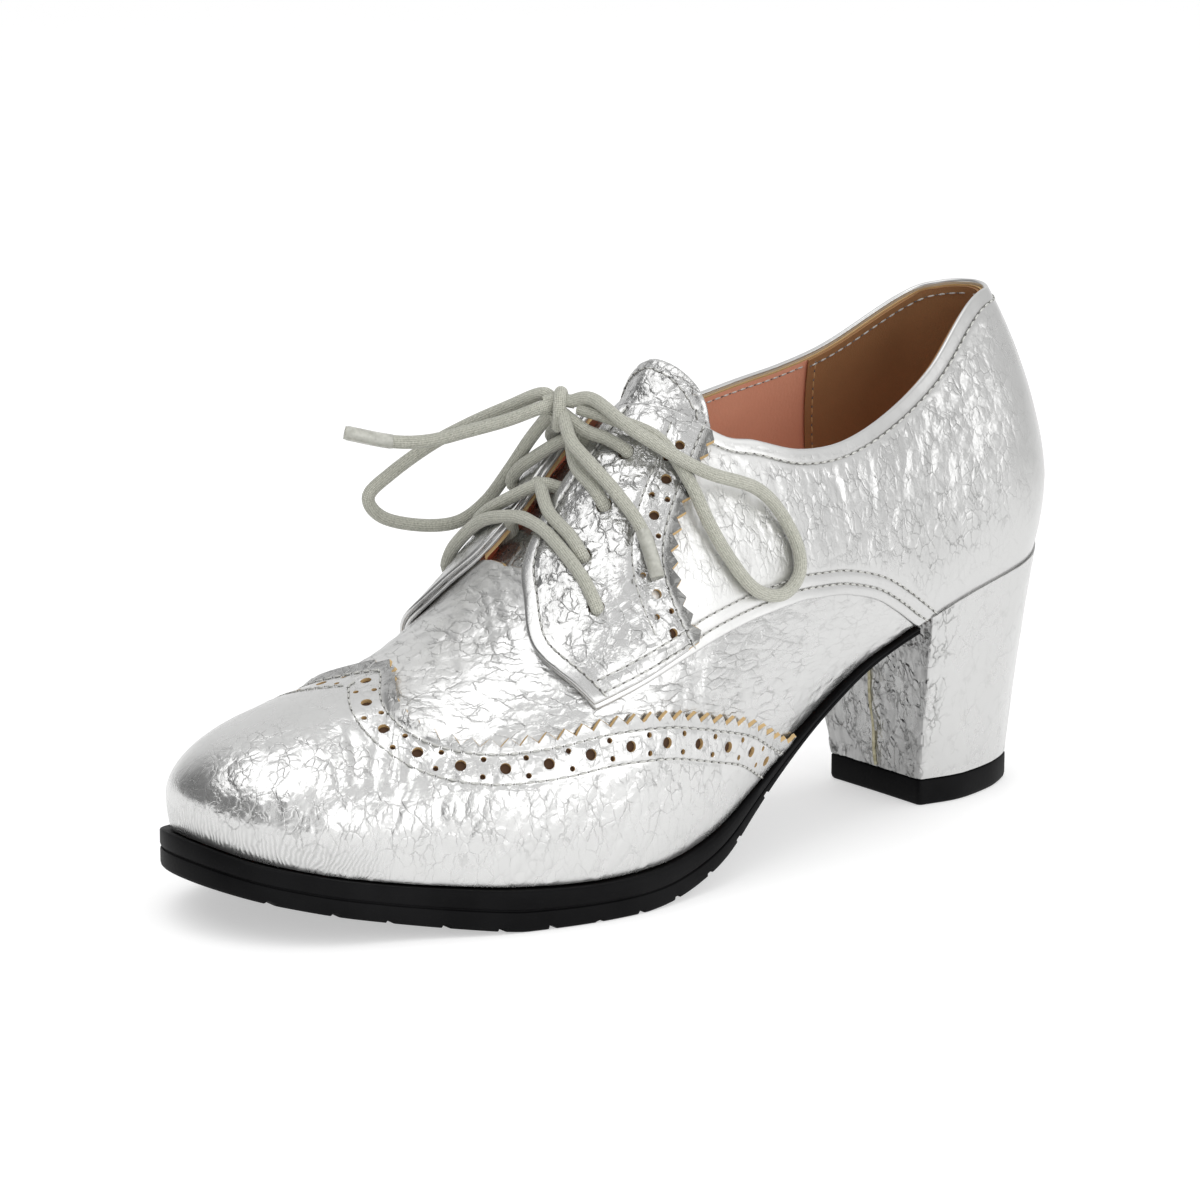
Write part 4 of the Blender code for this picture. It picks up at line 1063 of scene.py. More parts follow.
class Group(Tree):
    """Geometry nodes with named inputs and one output, while they are put in."""

    def __init__(self, name, output, **inputs):
        super().__init__(bpy.data.node_groups.new(name, "GeometryNodeTree"))
        for label, kind in inputs.items():
            self.tree.interface.new_socket(label, in_out="INPUT", socket_type="NodeSocket" + kind)
        self.tree.interface.new_socket(output, in_out="OUTPUT", socket_type="NodeSocketGeometry")
        start = self.tree.nodes.new("NodeGroupInput")
        self.given = {label: Wire(self, start.outputs[label]) for label in inputs}

    def finish(self, instances, look):
        """Make the instances real, give them a finish and send them out."""
        real = self.node("GeometryNodeRealizeInstances", None, {"Geometry": instances})
        dyed = self.node("GeometryNodeSetMaterial", None, {"Geometry": real, "Material": look})
        self.plug(self.tree.nodes.new("NodeGroupOutput").inputs[0], dyed)
        return self.tree


def stitch_nodes():
    """Stitches along curves: a small spindle at every pitch, turned to the row and moved along it."""
    rows = Group("stitch_rows", "Thread", Rows="Geometry", Pitch="Float", Length="Float", Thickness="Float",
                 Onward="Float", Finish="Material")
    given = rows.given
    spaced = rows.node("GeometryNodeResampleCurve", {"mode": "LENGTH"},
                       {"Curve": given["Rows"], "Length": given["Pitch"]})
    spindle = rows.node("GeometryNodeMeshUVSphere", None, {"Segments": 8, "Rings": 6, "Radius": 0.5}, "Mesh")
    sizes = rows.node("ShaderNodeCombineXYZ", None,
                      {"X": given["Length"], "Y": given["Thickness"], "Z": given["Thickness"]})
    place = rows.node("ShaderNodeCombineXYZ", None, {"X": given["Onward"]})
    shape = rows.node("GeometryNodeTransform", None,
                      {"Geometry": spindle, "Scale": sizes, "Translation": place})
    tangent = rows.node("GeometryNodeInputTangent")
    turn = rows.node("FunctionNodeAlignRotationToVector", {"axis": "X"}, {"Vector": tangent})
    sewn = rows.node("GeometryNodeInstanceOnPoints", None,
                     {"Points": spaced, "Instance": shape, "Rotation": turn})
    return rows.finish(sewn, given["Finish"])


STITCHES = stitch_nodes()


def grown(carrier, tree, values):
    """Plain mesh object from what a node tree makes on a carrier, which is then removed."""
    step = carrier.modifiers.new("grow", "NODES")
    step.node_group = tree
    for socket in tree.interface.items_tree:
        if socket.name in values:
            step[socket.identifier] = values[socket.name]
    bpy.context.view_layer.update()
    seen = carrier.evaluated_get(bpy.context.evaluated_depsgraph_get())
    mesh = bpy.data.meshes.new_from_object(seen)
    name = carrier.name
    bpy.data.objects.remove(carrier)
    made = bpy.data.objects.new(name, mesh)
    mesh.name = name
    mesh.polygons.foreach_set("use_smooth", np.ones(len(mesh.polygons), bool))
    bpy.context.scene.collection.objects.link(made)
    return made


def sew(name, rows, look=thread, pitch=2.4, thickness=0.46, mark=0.62):
    """Rows of stitches on polylines in millimetres, with a dark mark of painted shade in the needle hole
    between every two.
    """
    kinds = (("stitching", 0.0, STITCH, thickness, look),
             ("painted_hole_shades", pitch / 2, mark, thickness * 0.8, needle_mark))
    for kind, onward, long, thick, finish in kinds:
        line = bpy.data.curves.new(f"{name}_{kind}", "CURVE")
        line.dimensions = "3D"
        for row in rows:
            spline = line.splines.new("POLY")
            spline.points.add(len(row) - 1)
            spline.points.foreach_set("co", np.column_stack([metres(row), np.ones(len(row))]).ravel())
        carrier = bpy.data.objects.new(f"{name}_{kind}", line)
        bpy.context.scene.collection.objects.link(carrier)
        sizes = {"Pitch": pitch, "Length": long, "Thickness": thick, "Onward": onward}
        values = {label: size * MILLIMETRE for label, size in sizes.items()}
        made = grown(carrier, STITCHES, {**values, "Finish": finish})
        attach(made, "root")


def edge_line(edges, side, lift, first=0.0, last=1.0):
    """Polyline along an edge of a panel."""
    station, girth = np.moveaxis(trail(edges, np.linspace(first, last, 300)), -1, 0)
    return skin(side * station, girth, lift(station) if callable(lift) else lift)[0]


def lace_punches(side):
    """Round cutters for the lace holes of one side."""
    points, faces = [], []
    angles = np.linspace(0, 2 * np.pi, HOLE_SIDES, endpoint=False)
    for hole in HOLES:
        (centre,), (out,) = skin([side * hole.station], [hole.girth])
        across = unit(np.cross(out, [0, 0, 1.0]))
        upward = np.cross(out, across)
        start = len(points)
        for depth in (-HOLE_REACH, HOLE_REACH):
            for angle in angles:
                swing = across * math.cos(angle) + upward * math.sin(angle)
                points.append(centre + out * depth + HOLE / 2 * swing)
        faces += [tuple(start + corner for corner in face) for face in walls(1, HOLE_SIDES)]
        faces.append(tuple(start + here for here in range(HOLE_SIDES - 1, -1, -1)))
        faces.append(tuple(start + HOLE_SIDES + here for here in range(HOLE_SIDES)))
    points = np.array(points)
    name = "lace_punch_lateral" if side > 0 else "lace_punch_medial"
    made = solid(name, points, faces, [raw_edge] * 3, [2] * len(faces))
    middle = Vector(metres(points[:2 * HOLE_SIDES].mean(0)))
    first_rod = list(made.data.polygons)[:HOLE_SIDES + 2]
    if sum((face.center - middle).dot(face.normal) for face in first_rod) < 0:
        made.data.flip_normals()
    return made


def run_out(row):
    """Row whose start is carried straight on, down to the feather."""
    aim = unit(row[0] - row[4])
    on_last, normals = press(row[:1], 0.0)
    high = ((row[:1] - on_last) * normals).sum()
    more = press(row[0] + np.outer(np.linspace(RUN_OUT, 0.5, 18), aim), high)[0]
    return np.concatenate([more[more[:, 2] > sole_top(more[:, 0]) + 0.6], row])


STAY_START, STAY_STEP = 6.1, 1.35
TOPLINE_ROW, ARCH_ROWS, LINING_ROW = 3.0, (2.0, 5.0), 1.9
quarter_rows = []
for side, topline in ((1, TOPLINE_LATERAL), (-1, TOPLINE_MEDIAL)):
    top_edge = edge_line(topline, side, quarter_lift, 0.0, 0.9)
    quarter_rows.append(rounded(beside(top_edge, TOPLINE_ROW, (side * 3.0, 0.2)), 4))
    station, girth = np.moveaxis(arch(np.linspace(0.358, 0.985, 400)), -1, 0)
    over_stay = STAY_STEP * ramp(STAY_START - 0.04, STAY_START + 0.04, station)
    arch_edge = skin(side * station, girth, quarter_lift(station) + over_stay)[0]
    for distance in ARCH_ROWS:
        quarter_rows.append(run_out(rounded(beside(arch_edge, distance, (side * 4.0, 0.9)), 4)))
quarter_up = spans(0, (0.12, 14), (0.92, 58), (1, 12))
quarter_points, quarter_normals, quarter_turn = both_sides(
    np.linspace(0, 1, 190), quarter_up, lambda station, girth: quarter_lift(station))
quarter_flat = quarter_points.reshape(-1, 3)
quarter_station = np.abs(quarter_turn).reshape(-1)
quarter_seams = away_from(quarter_flat, quarter_rows)
quarter_band = np.repeat(quarter_up[None], len(quarter_turn), 0).reshape(-1)
quarter_calm = (0.12 + 0.88 * ramp(1.3, 2.7, quarter_station)) * ramp(0.5, 2.5, quarter_seams)
quarter_calm *= ramp(0.03, 0.3, quarter_band) * (1 - ramp(0.93, 0.97, quarter_band))
quarter_relief = foil_relief(quarter_flat, (4.2, 4.2, 5.6), 0.36, 23) * (0.2 + 0.8 * quarter_calm)
quarter_folds = creases(quarter_flat, QUARTER_CREASES) + creases(quarter_flat, QUARTER_CREASES, -1)
quarter_relief += quarter_folds * quarter_calm
quarter_relief += pulled(quarter_flat, quarter_rows)
quarter_silver = silver("quarter_silver", 2.2, (1.15, 1.15, 0.62), 2.3, 1.5, 0.29, 0.61, painted_ditch_weight=0.62)
quarters, quarter_first = hide("quarter_foil", quarter_points, quarter_normals, QUARTER_WALL,
                               [quarter_silver, back_cloth, raw_edge], quarter_relief)
# Painted shade: the quarter is painted darker round the heel, above its lower edge.
quarter_painted_shade = 0.14 * (1 - ramp(3.0, 4.4, quarter_station)) * ramp(0.1, 0.4, quarter_band)
tag_face(quarters, "crinkle", 0.06 + 0.94 * quarter_calm, quarter_first)
# Painted light: the quarter is painted lighter towards its front.
tag_face(quarters, "haze_and_painted_light", 0.85 * ramp(4.3, 5.4, quarter_station), quarter_first)
tag_face(quarters, "shade", quarter_painted_shade, quarter_first)
for side in (1, -1):
    cut_away(quarters, lace_punches(side))
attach(quarters, "root")
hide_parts("upper")
sew("quarter", quarter_rows)
lining_rows = []
for side, topline in ((1, TOPLINE_LATERAL), (-1, TOPLINE_MEDIAL)):
    for depth, first, last in ((1.95, 0.4, 0.88), (2.85, 0.03, 0.375)):
        inner_edge = edge_line(topline, side, lambda station: quarter_lift(station) - depth, first, last)
        lining_rows.append(rounded(beside(inner_edge, LINING_ROW, (side * 3.0, 0.2), -0.05), 4))
sew("lining", lining_rows, pitch=2.6)
tan_thread = leather("tan_thread", (0.62, 0.40, 0.2), (0.45, 0.27, 0.12), 3000.0, 0.7)
counter_rows = []
for side in (1, -1):
    up = np.linspace(0.06, 0.95, 60)
    onward = (COUNTER_END - 0.012) * (1 - COUNTER_LEAN * (1 - up))
    station, girth = quarter_spots(onward, up, side, LINING_FLOOR)
    counter_rows.append(skin(side * station, girth, lining_lift(station, girth) - 1.6)[0])
sew("counter", counter_rows, tan_thread, mark=0.7)


# Wing cap
# The pinked wing tip laid over the vamp: cut with a saw edge that shows the tan backing, punched with a row
# of large holes and pairs of small ones, and sewn down with a row of stitches on each hand of the holes.
OVERLAY, OVERLAY_GAP = 1.0, 0.65
CAP_LIFT = VAMP_DEPTH + OVERLAY_GAP + OVERLAY - 0.3
TOOTH, TOOTH_DEPTH, TOOTH_POINTS = 4.0, 2.0, 8
CAP_SPOT, CAP_FOOT, CAP_BORDER, CAP_ROWS = Edge(8.6, 0.15), 0.004, 13.5, (3.4, 10.2)
PUNCH_DEPTH, PUNCH_SIDES = 1.7, 14
Brogue = namedtuple("Brogue", "centre spread pitch large small start")
CAP_BROGUE = Brogue(6.6, 2.0, 9.6, 2.5, 1.25, 2.0)
WingRow = namedtuple("WingRow", "foot station girth")
WING = [
    WingRow(12.0, 12.0, 1.0), WingRow(11.25, 11.25, 1.0), WingRow(10.55, 10.4, 1.0), WingRow(10.2, 9.5, 1.0),
    WingRow(9.95, 8.95, 1.0), WingRow(9.75, 8.55, 1.0), WingRow(9.6, 8.18, 1.0), WingRow(9.0, 8.43, 0.775),
    WingRow(8.5, 8.41, 0.605), WingRow(8.1, 8.12, 0.498), WingRow(7.6, 7.63, 0.447), WingRow(7.2, 7.3, 0.425),
    WingRow(6.9, 7.0, 0.395), WingRow(6.4, 6.5, 0.335), WingRow(5.9, 6.0, 0.26), WingRow(5.3, 5.45, 0.17),
    WingRow(4.7, 4.86, 0.03),
]
PEAK = 6
CAP_CREASES = [
    Crease(7.30, 0.28, 7.75, 0.04, 0.22, 0.9), Crease(7.60, 0.30, 8.00, 0.05, 0.24, 0.9),
    Crease(7.85, 0.32, 8.30, 0.06, 0.22, 0.8), Crease(8.15, 0.36, 8.55, 0.08, 0.24, 0.9),
    Crease(8.35, 0.44, 8.80, 0.14, 0.22, 0.9), Crease(8.60, 0.52, 9.00, 0.20, 0.24, 1.0),
    Crease(8.75, 0.62, 9.25, 0.30, 0.22, 1.0), Crease(8.85, 0.74, 9.40, 0.42, 0.20, 1.0),
    Crease(6.95, 0.22, 7.35, 0.03, 0.20, 0.8), Crease(6.55, 0.18, 6.90, 0.03, 0.18, 0.8),
    Crease(9.2, 0.22, 9.25, 0.02, 0.16, 0.7), Crease(9.5, 0.20, 9.52, 0.02, 0.16, 0.7),
    Crease(9.8, 0.20, 9.8, 0.02, 0.14, 0.7), Crease(10.1, 0.18, 10.1, 0.02, 0.14, 0.7),
]


def wing_values(share):
    """Station of the foot, and station and girth of the edge, along the wing from the toe to its tail."""
    foot, station, girth = np.moveaxis(smooth([tuple(row) for row in WING], share), -1, 0)
    return foot, np.minimum(station, TIP), np.minimum(girth, 1.0)


def saw(count, shift=0.0):
    """Share of a tooth's depth that is cut away at every point of a pinked edge."""
    return 1 - np.abs(2 * np.mod(np.arange(count) / TOOTH_POINTS + shift, 1.0) - 1)


rim_share = np.linspace(PEAK, len(WING) - 1, 2000)
_, rim_station, rim_girth = wing_values(rim_share)
rim_run = travelled(skin(rim_station, rim_girth, CAP_LIFT)[0])
rim_at = np.linspace(0, rim_run[-1], int(round(rim_run[-1] / TOOTH)) * TOOTH_POINTS + 1)
toe_shares = np.linspace(0, PEAK, 44, endpoint=False)
wing_shares = np.concatenate([toe_shares, np.interp(rim_at, rim_run, rim_share)])
wing_tooth = np.concatenate([np.zeros(len(toe_shares)), saw(len(rim_at))])
cap_foot, cap_station, cap_girth = wing_values(wing_shares)
cap_low, _ = skin(cap_foot, CAP_FOOT)
cap_high, _ = skin(cap_station, cap_girth)
cap_tall = np.maximum(np.linalg.norm(cap_high - cap_low, axis=1), 3.0)
cap_border = np.minimum(CAP_BORDER, 0.8 * cap_tall)[:, None]
cap_in = cap_border * np.linspace(1, 0, 25)[None]
cap_below = (1 - cap_border / cap_tall[:, None]) * np.linspace(0, 1, 18, endpoint=False)[None]
cap_up = np.concatenate([cap_below, 1 - cap_in / cap_tall[:, None]], 1)
cap_turn = cap_foot[:, None] * (1 - cap_up) + cap_station[:, None] * cap_up
cap_share = CAP_FOOT * (1 - cap_up) + cap_girth[:, None] * cap_up
cap_turn = np.concatenate([cap_turn[:0:-1], LAP - cap_turn])
cap_share = np.concatenate([cap_share[:0:-1], cap_share])
cap_points, cap_normals = skin(cap_turn, cap_share, CAP_LIFT)


def own_side(points, side, room=0.0):
    """Which points lie on one side of the ridge."""
    return side * (points[:, 1] - along(RIDGE, "y", points[:, 0])) > room


cap_rims = [skin(side * rim_station, rim_girth, CAP_LIFT)[0] for side in (1, -1)]
cap_rows_sewn = []
for side, rim in zip((1, -1), cap_rims):
    for distance in CAP_ROWS:
        row = rounded(beside(rim, distance, (side * CAP_SPOT.station, CAP_SPOT.girth)), 6)
        cap_rows_sewn.append(row[(row[:, 2] > sole_top(row[:, 0]) + 1.0) & own_side(row, side)])
cap_teeth = np.concatenate([wing_tooth[:0:-1], wing_tooth])
cap_inward = np.cross(cap_normals[:, -1], np.gradient(cap_points[:, -1], axis=0))
cap_inward /= np.linalg.norm(cap_inward, axis=1)[:, None] + 1e-9
cap_inward *= np.sign(((cap_points[:, -12] - cap_points[:, -1]) * cap_inward * cap_teeth[:, None]).sum())
cap_near = np.clip(1 - away_from(cap_points.reshape(-1, 3), cap_rims) / 7.0, 0, 1).reshape(cap_share.shape)
cap_cut = cap_teeth[:, None] * TOOTH_DEPTH * (1 + 0.5 * ramp(0.5, 0.8, cap_share[:, -1:]))
cap_slide = (cap_cut * cap_near)[..., None] * cap_inward[:, None]
cap_flat = (cap_points + cap_slide).reshape(-1, 3)
cap_girths, cap_turns = cap_share.reshape(-1), cap_turn.reshape(-1)
cap_inset = away_from(cap_flat, cap_rims)
cap_flare = (0.75 + 0.35 * ramp(0.45, 0.75, cap_girths)) * (1 - np.clip(cap_inset / 3.3, 0, 1))
cap_away = np.minimum(cap_turns, LAP - cap_turns)
cap_calm = 1 - 0.85 * ramp(0.6, 0.82, cap_girths) * ramp(8.3, 8.7, cap_away)
cap_calm *= 1 - 0.85 * ramp(11.3, 12.2, cap_turns) * (1 - ramp(13.5, 14.5, cap_turns))
cap_calm *= 0.1 + 0.9 * ramp(0.05, 0.2, cap_girths)
cap_calm *= ramp(0.3, 1.5, away_from(cap_flat, cap_rows_sewn))
cap_relief = foil_relief(cap_flat, (4.6, 4.6, 5.2), 0.34, 41) * cap_calm
cap_relief += creases(cap_flat, CAP_CREASES) + creases(cap_flat, CAP_CREASES, -1)
cap_relief += pulled(cap_flat, cap_rows_sewn)
cap_silver = silver("cap_silver", 2.4, (0.95, 0.95, 0.5), 1.9, 1.6, pleated=True, painted_ditch_weight=0.5)
cap, cap_first = hide("wing_cap_foil", cap_points, cap_normals, OVERLAY, [cap_silver, back_cloth, raw_edge],
                      cap_relief, 0.0, -cap_flare, cap_slide)
cap_run = np.repeat(travelled(cap_points[:, 0]), cap_share.shape[1])
# The gather mark raises pleats at the toe and paints their troughs darker as painted shade.
cap_gather = ramp(8.8, 9.6, cap_away) * ramp(0.0, 0.03, cap_girths) * (1 - ramp(0.07, 0.2, cap_girths))
# Painted shade: a darker band along the pinked edge, darkest towards the top of the foot.
cap_painted_shade = (1 - ramp(2.4, 3.3, cap_inset)) * (0.1 + 0.3 * ramp(0.45, 0.7, cap_girths))
tag_face(cap, "crinkle", 0.06 + 0.94 * cap_calm, cap_first)
for mark, values in (("run", cap_run), ("gather", cap_gather), ("shade", cap_painted_shade)):
    tag_face(cap, mark, values, cap_first)
# The bottoms of the blind holes are painted a near black brown as painted shade.
punched = leather("punched_hole", (0.10, 0.05, 0.024), (0.04, 0.02, 0.01), 2000.0, 0.9)


def punch_nodes(look):
    """Punches on points: a short rod at every point, along its normal and as wide as its size."""
    rods = Group("brogue_punches", "Punches", Spots="Geometry", Depth="Float")
    rod = rods.node("GeometryNodeMeshCylinder", None,
                    {"Vertices": PUNCH_SIDES, "Radius": 0.5, "Depth": rods.given["Depth"]}, "Mesh")
    facing, bore = (
        rods.node("GeometryNodeInputNamedAttribute", {"data_type": kind}, {"Name": name}, "Attribute")
        for kind, name in (("FLOAT_VECTOR", "out"), ("FLOAT", "bore")))
    turn = rods.node("FunctionNodeAlignRotationToVector", {"axis": "Z"}, {"Vector": facing})
    sizes = rods.node("ShaderNodeCombineXYZ", None, {"X": bore, "Y": bore, "Z": 1.0})
    put = rods.node("GeometryNodeInstanceOnPoints", None,
                    {"Points": rods.given["Spots"], "Instance": rod, "Rotation": turn, "Scale": sizes})
    return rods.finish(put, look)


PUNCHES = punch_nodes(punched)


def brogue(name, spots, normals, sizes):
    """Blind punches for the holes of a panel, ready to be cut out of it."""
    mesh = bpy.data.meshes.new(name)
    mesh.from_pydata(metres(spots).tolist(), [], [])
    out = mesh.attributes.new("out", "FLOAT_VECTOR", "POINT")
    out.data.foreach_set("vector", np.asarray(normals, np.float32).ravel())
    bore = mesh.attributes.new("bore", "FLOAT", "POINT")
    bore.data.foreach_set("value", np.asarray(sizes, np.float32) * MILLIMETRE)
    carrier = bpy.data.objects.new(name, mesh)
    bpy.context.scene.collection.objects.link(carrier)
    made = grown(carrier, PUNCHES, {"Depth": PUNCH_DEPTH * MILLIMETRE})
    made.data.materials.clear()
    # The rods' ends give the hole bottoms that finish of painted shade.
    for look in (raw_edge, raw_edge, raw_edge, punched):
        made.data.materials.append(look)
    choice = [3 if len(face.vertices) > 4 else 2 for face in made.data.polygons]
    made.data.polygons.foreach_set("material_index", np.array(choice, np.int32))
    return made


def brogue_row(line, towards, row):
    """Spots, normals and sizes of a row: large holes at a pitch, and a pair of small ones between two."""
    middle, inner, outer = (rounded(beside(line, distance, towards, 0.0), 6)
                            for distance in (row.centre, row.centre - row.spread, row.centre + row.spread))
    run = travelled(middle)
    spots, sizes = [], []
    for number in range(2 * int((run[-1] - row.start) / row.pitch) + 1):
        at = row.start + number * row.pitch / 2
        pair = [(inner, row.small), (outer, row.small)]
        for path, size in ([(middle, row.large)] if number % 2 == 0 else pair):
            spots.append([np.interp(at, run, path[:, axis]) for axis in range(3)])
            sizes.append(size)
    spots = np.array(spots)
    return spots, press(spots, 0.0)[1], np.array(sizes)


cap_holes = []
for side, rim in zip((1, -1), cap_rims):
    spots, outs, sizes = brogue_row(rim, (side * CAP_SPOT.station, CAP_SPOT.girth), CAP_BROGUE)
    clear = (spots[:, 2] > sole_top(spots[:, 0]) + 3.0) & own_side(spots, side, 1.5)
    cap_holes.append((spots[clear], outs[clear], sizes[clear]))
cap.data.materials.append(punched)
cut_away(cap, brogue("cap_punches", *(np.concatenate(values) for values in zip(*cap_holes))))
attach(cap, "root")
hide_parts("wing_cap")
sew("wing_cap", cap_rows_sewn, thickness=0.5, mark=0.22)


# Eyestays
# A facing stay on each quarter, folded along the throat and pinked behind, punched like the cap and sewn
# with a row at its rear edge and one inside the holes. The lateral stay has a third row along the throat.
# The lace holes go through stay and quarter.
EYESTAY_REAR = [Edge(6.12, 0.430), Edge(6.21, 0.50), Edge(6.24, 0.575), Edge(6.18, 0.63),
                Edge(5.98, 0.68), Edge(5.70, 0.725), Edge(5.42, 0.765)]
STAY_CREASES = [
    Crease(6.75, 0.62, 6.45, 0.80, 0.30, 1.0), Crease(6.60, 0.60, 6.30, 0.74, 0.26, 1.0),
    Crease(6.95, 0.74, 6.60, 0.76, 0.26, 0.9), Crease(6.40, 0.86, 6.10, 0.78, 0.28, 1.0),
    Crease(6.90, 0.84, 6.60, 0.88, 0.24, 0.9), Crease(7.10, 0.60, 6.85, 0.56, 0.22, 0.9),
    Crease(7.20, 0.72, 7.00, 0.72, 0.22, 0.8), Crease(6.20, 0.80, 5.90, 0.84, 0.24, 0.9),
]
STAY_BROGUE = Brogue(6.4, 1.9, 9.2, 2.3, 1.25, 0.0)
STAY_ROWS, FACING_ROW, STAY_TOOTH = (3.2, 10.4), 2.6, 1.6
stay_silver = silver("facing_silver", 3.3, (1.0, 1.0, 0.9), 2.0, 1.4, 0.26, 0.58)
stay_rows_sewn = []


def stay_lift(station):
    """The stays lie on the quarters."""
    return quarter_lift(station) + STAY_STEP


def stay_edge(edge, side):
    return skin(side * edge[:, 0], edge[:, 1], stay_lift(edge[:, 0]))[0]


for side, facing, name in ((1, FACING_LATERAL, "eyestay_lateral"), (-1, FACING_MEDIAL, "eyestay_medial")):
    rear_at = np.linspace(0.01, 0.98, 1200)
    rear = trail(EYESTAY_REAR, rear_at)
    rear_run = travelled(skin(side * rear[:, 0], rear[:, 1], 1.2)[0])
    teeth = int(round(rear_run[-1] / TOOTH))
    stay_up = np.interp(np.linspace(0, rear_run[-1], teeth * TOOTH_POINTS + 1), rear_run, rear_at)
    shares = np.linspace(0, 1, 58)
    begin = (saw(len(stay_up), 0.5) * STAY_TOOTH / 30.0)[None]
    across = begin + (1 - begin) * shares[:, None]
    rear, front = trail(EYESTAY_REAR, stay_up), trail(facing, stay_up)
    spots = rear[None] * (1 - across[..., None]) + front[None] * across[..., None]
    points, normals = skin(side * spots[..., 0], spots[..., 1], stay_lift(spots[..., 0]))
    rear_edge, front_edge = stay_edge(rear, side), stay_edge(front, side)
    inside = (side * 7.0, 0.72)
    rows = [rounded(beside(rear_edge, STAY_ROWS[0], inside), 6),
            rounded(beside(rear_edge[12:-8], STAY_ROWS[1], inside), 8)]
    if side == 1:
        rows.append(rounded(beside(front_edge, FACING_ROW, (side * 6.2, 0.62)), 6))
    flat = points.reshape(-1, 3)
    inset = away_from(flat, [rear_edge])
    flare = 0.7 * (1 - np.clip(inset / 3.1, 0, 1))
    fold = np.repeat((1 - ramp(0.9, 0.97, shares))[:, None], len(stay_up), 1).reshape(-1)
    calm = ramp(0.4, 1.6, away_from(flat, rows + quarter_rows)) * fold
    relief = foil_relief(flat, (5.2, 5.2, 5.2), 0.55, 57) * calm + creases(flat, STAY_CREASES, side) * calm
    relief = relief + pulled(flat, rows + quarter_rows)
    folded = np.repeat((shares > 0.5).astype(float)[:, None], len(stay_up), 1)
    folded[shares > 0.12, :2] = 1.0
    wall = OVERLAY + np.repeat((0.33 * ramp(0.3, 0.6, shares))[:, None], len(stay_up), 1)
    stay, stay_first = hide(name + "_foil", points, normals, wall,
                            [stay_silver, back_cloth, raw_edge, punched], relief, folded, -flare)
    tag_face(stay, "crinkle", 0.12 + 0.88 * calm, stay_first)
    # Painted shade: a dark band along the pinked rear edge, out to the stitch row.
    tag_face(stay, "shade", 0.85 * (1 - ramp(2.4, 3.2, inset)), stay_first)
    cut_away(stay, lace_punches(side))
    cut_away(stay, brogue(name + "_punches", *brogue_row(rear_edge[9:-4], inside, STAY_BROGUE)))
    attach(stay, "root")
    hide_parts(name)
    stay_rows_sewn += rows
sew("eyestay", stay_rows_sewn)


# Tongue
# A soft tongue of the same foil leather, lined in pink and edged with a row of stitches. It starts under the
# vamp's edge, lies under the facings and stands up past the knot.
TONGUE_WALL = 1.5


def tongue_spots(across, up):
    """Turn, girth and lift of the tongue: across from -1 at its lateral edge to 1, up from foot to top."""
    station = 7.5 - (2.0 + 0.12 * (np.sqrt(across ** 2 + 0.05) - across)) * up + 0.1 * up ** 4 * across ** 6
    girth = 1 - (0.16 + 0.055 * up) * np.abs(across)
    bend = 0.27 * np.abs(across)
    lift = -4.0 + 5.0 * ramp(0, 1, (up - 0.75 - bend) / (1.08 - 0.75 - bend))
    return np.where(across <= 0, 1, -1) * station, girth, lift


tongue_across, tongue_up = np.linspace(-1, 1, 81)[:, None], np.linspace(0, 1, 100)[None]
tongue_points, tongue_normals = skin(*tongue_spots(tongue_across, tongue_up))
tongue_relief = foil_relief(tongue_points.reshape(-1, 3), (5.0, 5.0, 5.0), 0.5, 71)
tongue_silver = silver("tongue_silver", 3.2, (1.0, 1.0, 1.0), 2.0, 1.4, 0.26, 0.56)
tongue, _ = hide("tongue_foil", tongue_points, tongue_normals, TONGUE_WALL,
                 [tongue_silver, pink_lining, raw_edge], tongue_relief)
tag(tongue, "crinkle", 1.0)
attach(tongue, "root")
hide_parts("tongue")
tongue_run = np.concatenate([[(-0.86, up) for up in np.linspace(0.55, 0.955, 40)],
                             [(across, 0.955) for across in np.linspace(-0.86, 0.86, 60)[1:-1]],
                             [(0.86, up) for up in np.linspace(0.955, 0.55, 40)]])
row_turn, row_girth, row_lift = tongue_spots(tongue_run[:, 0], tongue_run[:, 1])
tongue_row, _ = skin(row_turn, row_girth, row_lift + 0.12)
sew("tongue", [rounded(tongue_row, 5)])


# Lace
# A round waxed cotton lace, braided: up through each hole, across the throat and under the other facing,
# then tied above the upper holes in a bow with two loops and two tipped ends.
LACE, LACE_SIDES, LACE_STEP = 3.0, 14, 0.8
TIP_POINTS, TIP_RADIUS, TIP_START, TIP_END = 15, 1.68, 1.55, 1.45
lace_cotton = Finish("lace_cotton")
lace_map = lace_cotton.node("ShaderNodeUVMap", {"uv_map": "UVMap"})
lace_u, lace_v = (lace_cotton.node("ShaderNodeSeparateXYZ", None, {"Vector": lace_map}, axis)
                  for axis in "XY")
plait_a, plait_b = (lace_cotton.node("ShaderNodeMath", {"operation": "SINE"}, {0: strand * (2 * math.pi)})
                    for strand in (lace_u * 9.0 + lace_v * 1.5, lace_u * 9.0 - lace_v * 1.5))
lace_fuzz = lace_cotton.noise(lace_cotton.place(), 2200.0, 4.0)
plait = plait_a * plait_b
lace_shade = lace_cotton.shades(plait * 0.2 + lace_fuzz * 0.75 + 0.14, (0.2, (0.26, 0.26, 0.21)),
                                (0.6, (0.52, 0.52, 0.45)), (0.9, (0.66, 0.66, 0.58)))
lace_cotton.set(Base_Color=lace_shade, Roughness=0.72, Sheen_Weight=0.2)
lace_cotton.bump(plait * 0.5 + lace_fuzz * 0.5, 0.0004, 0.6)


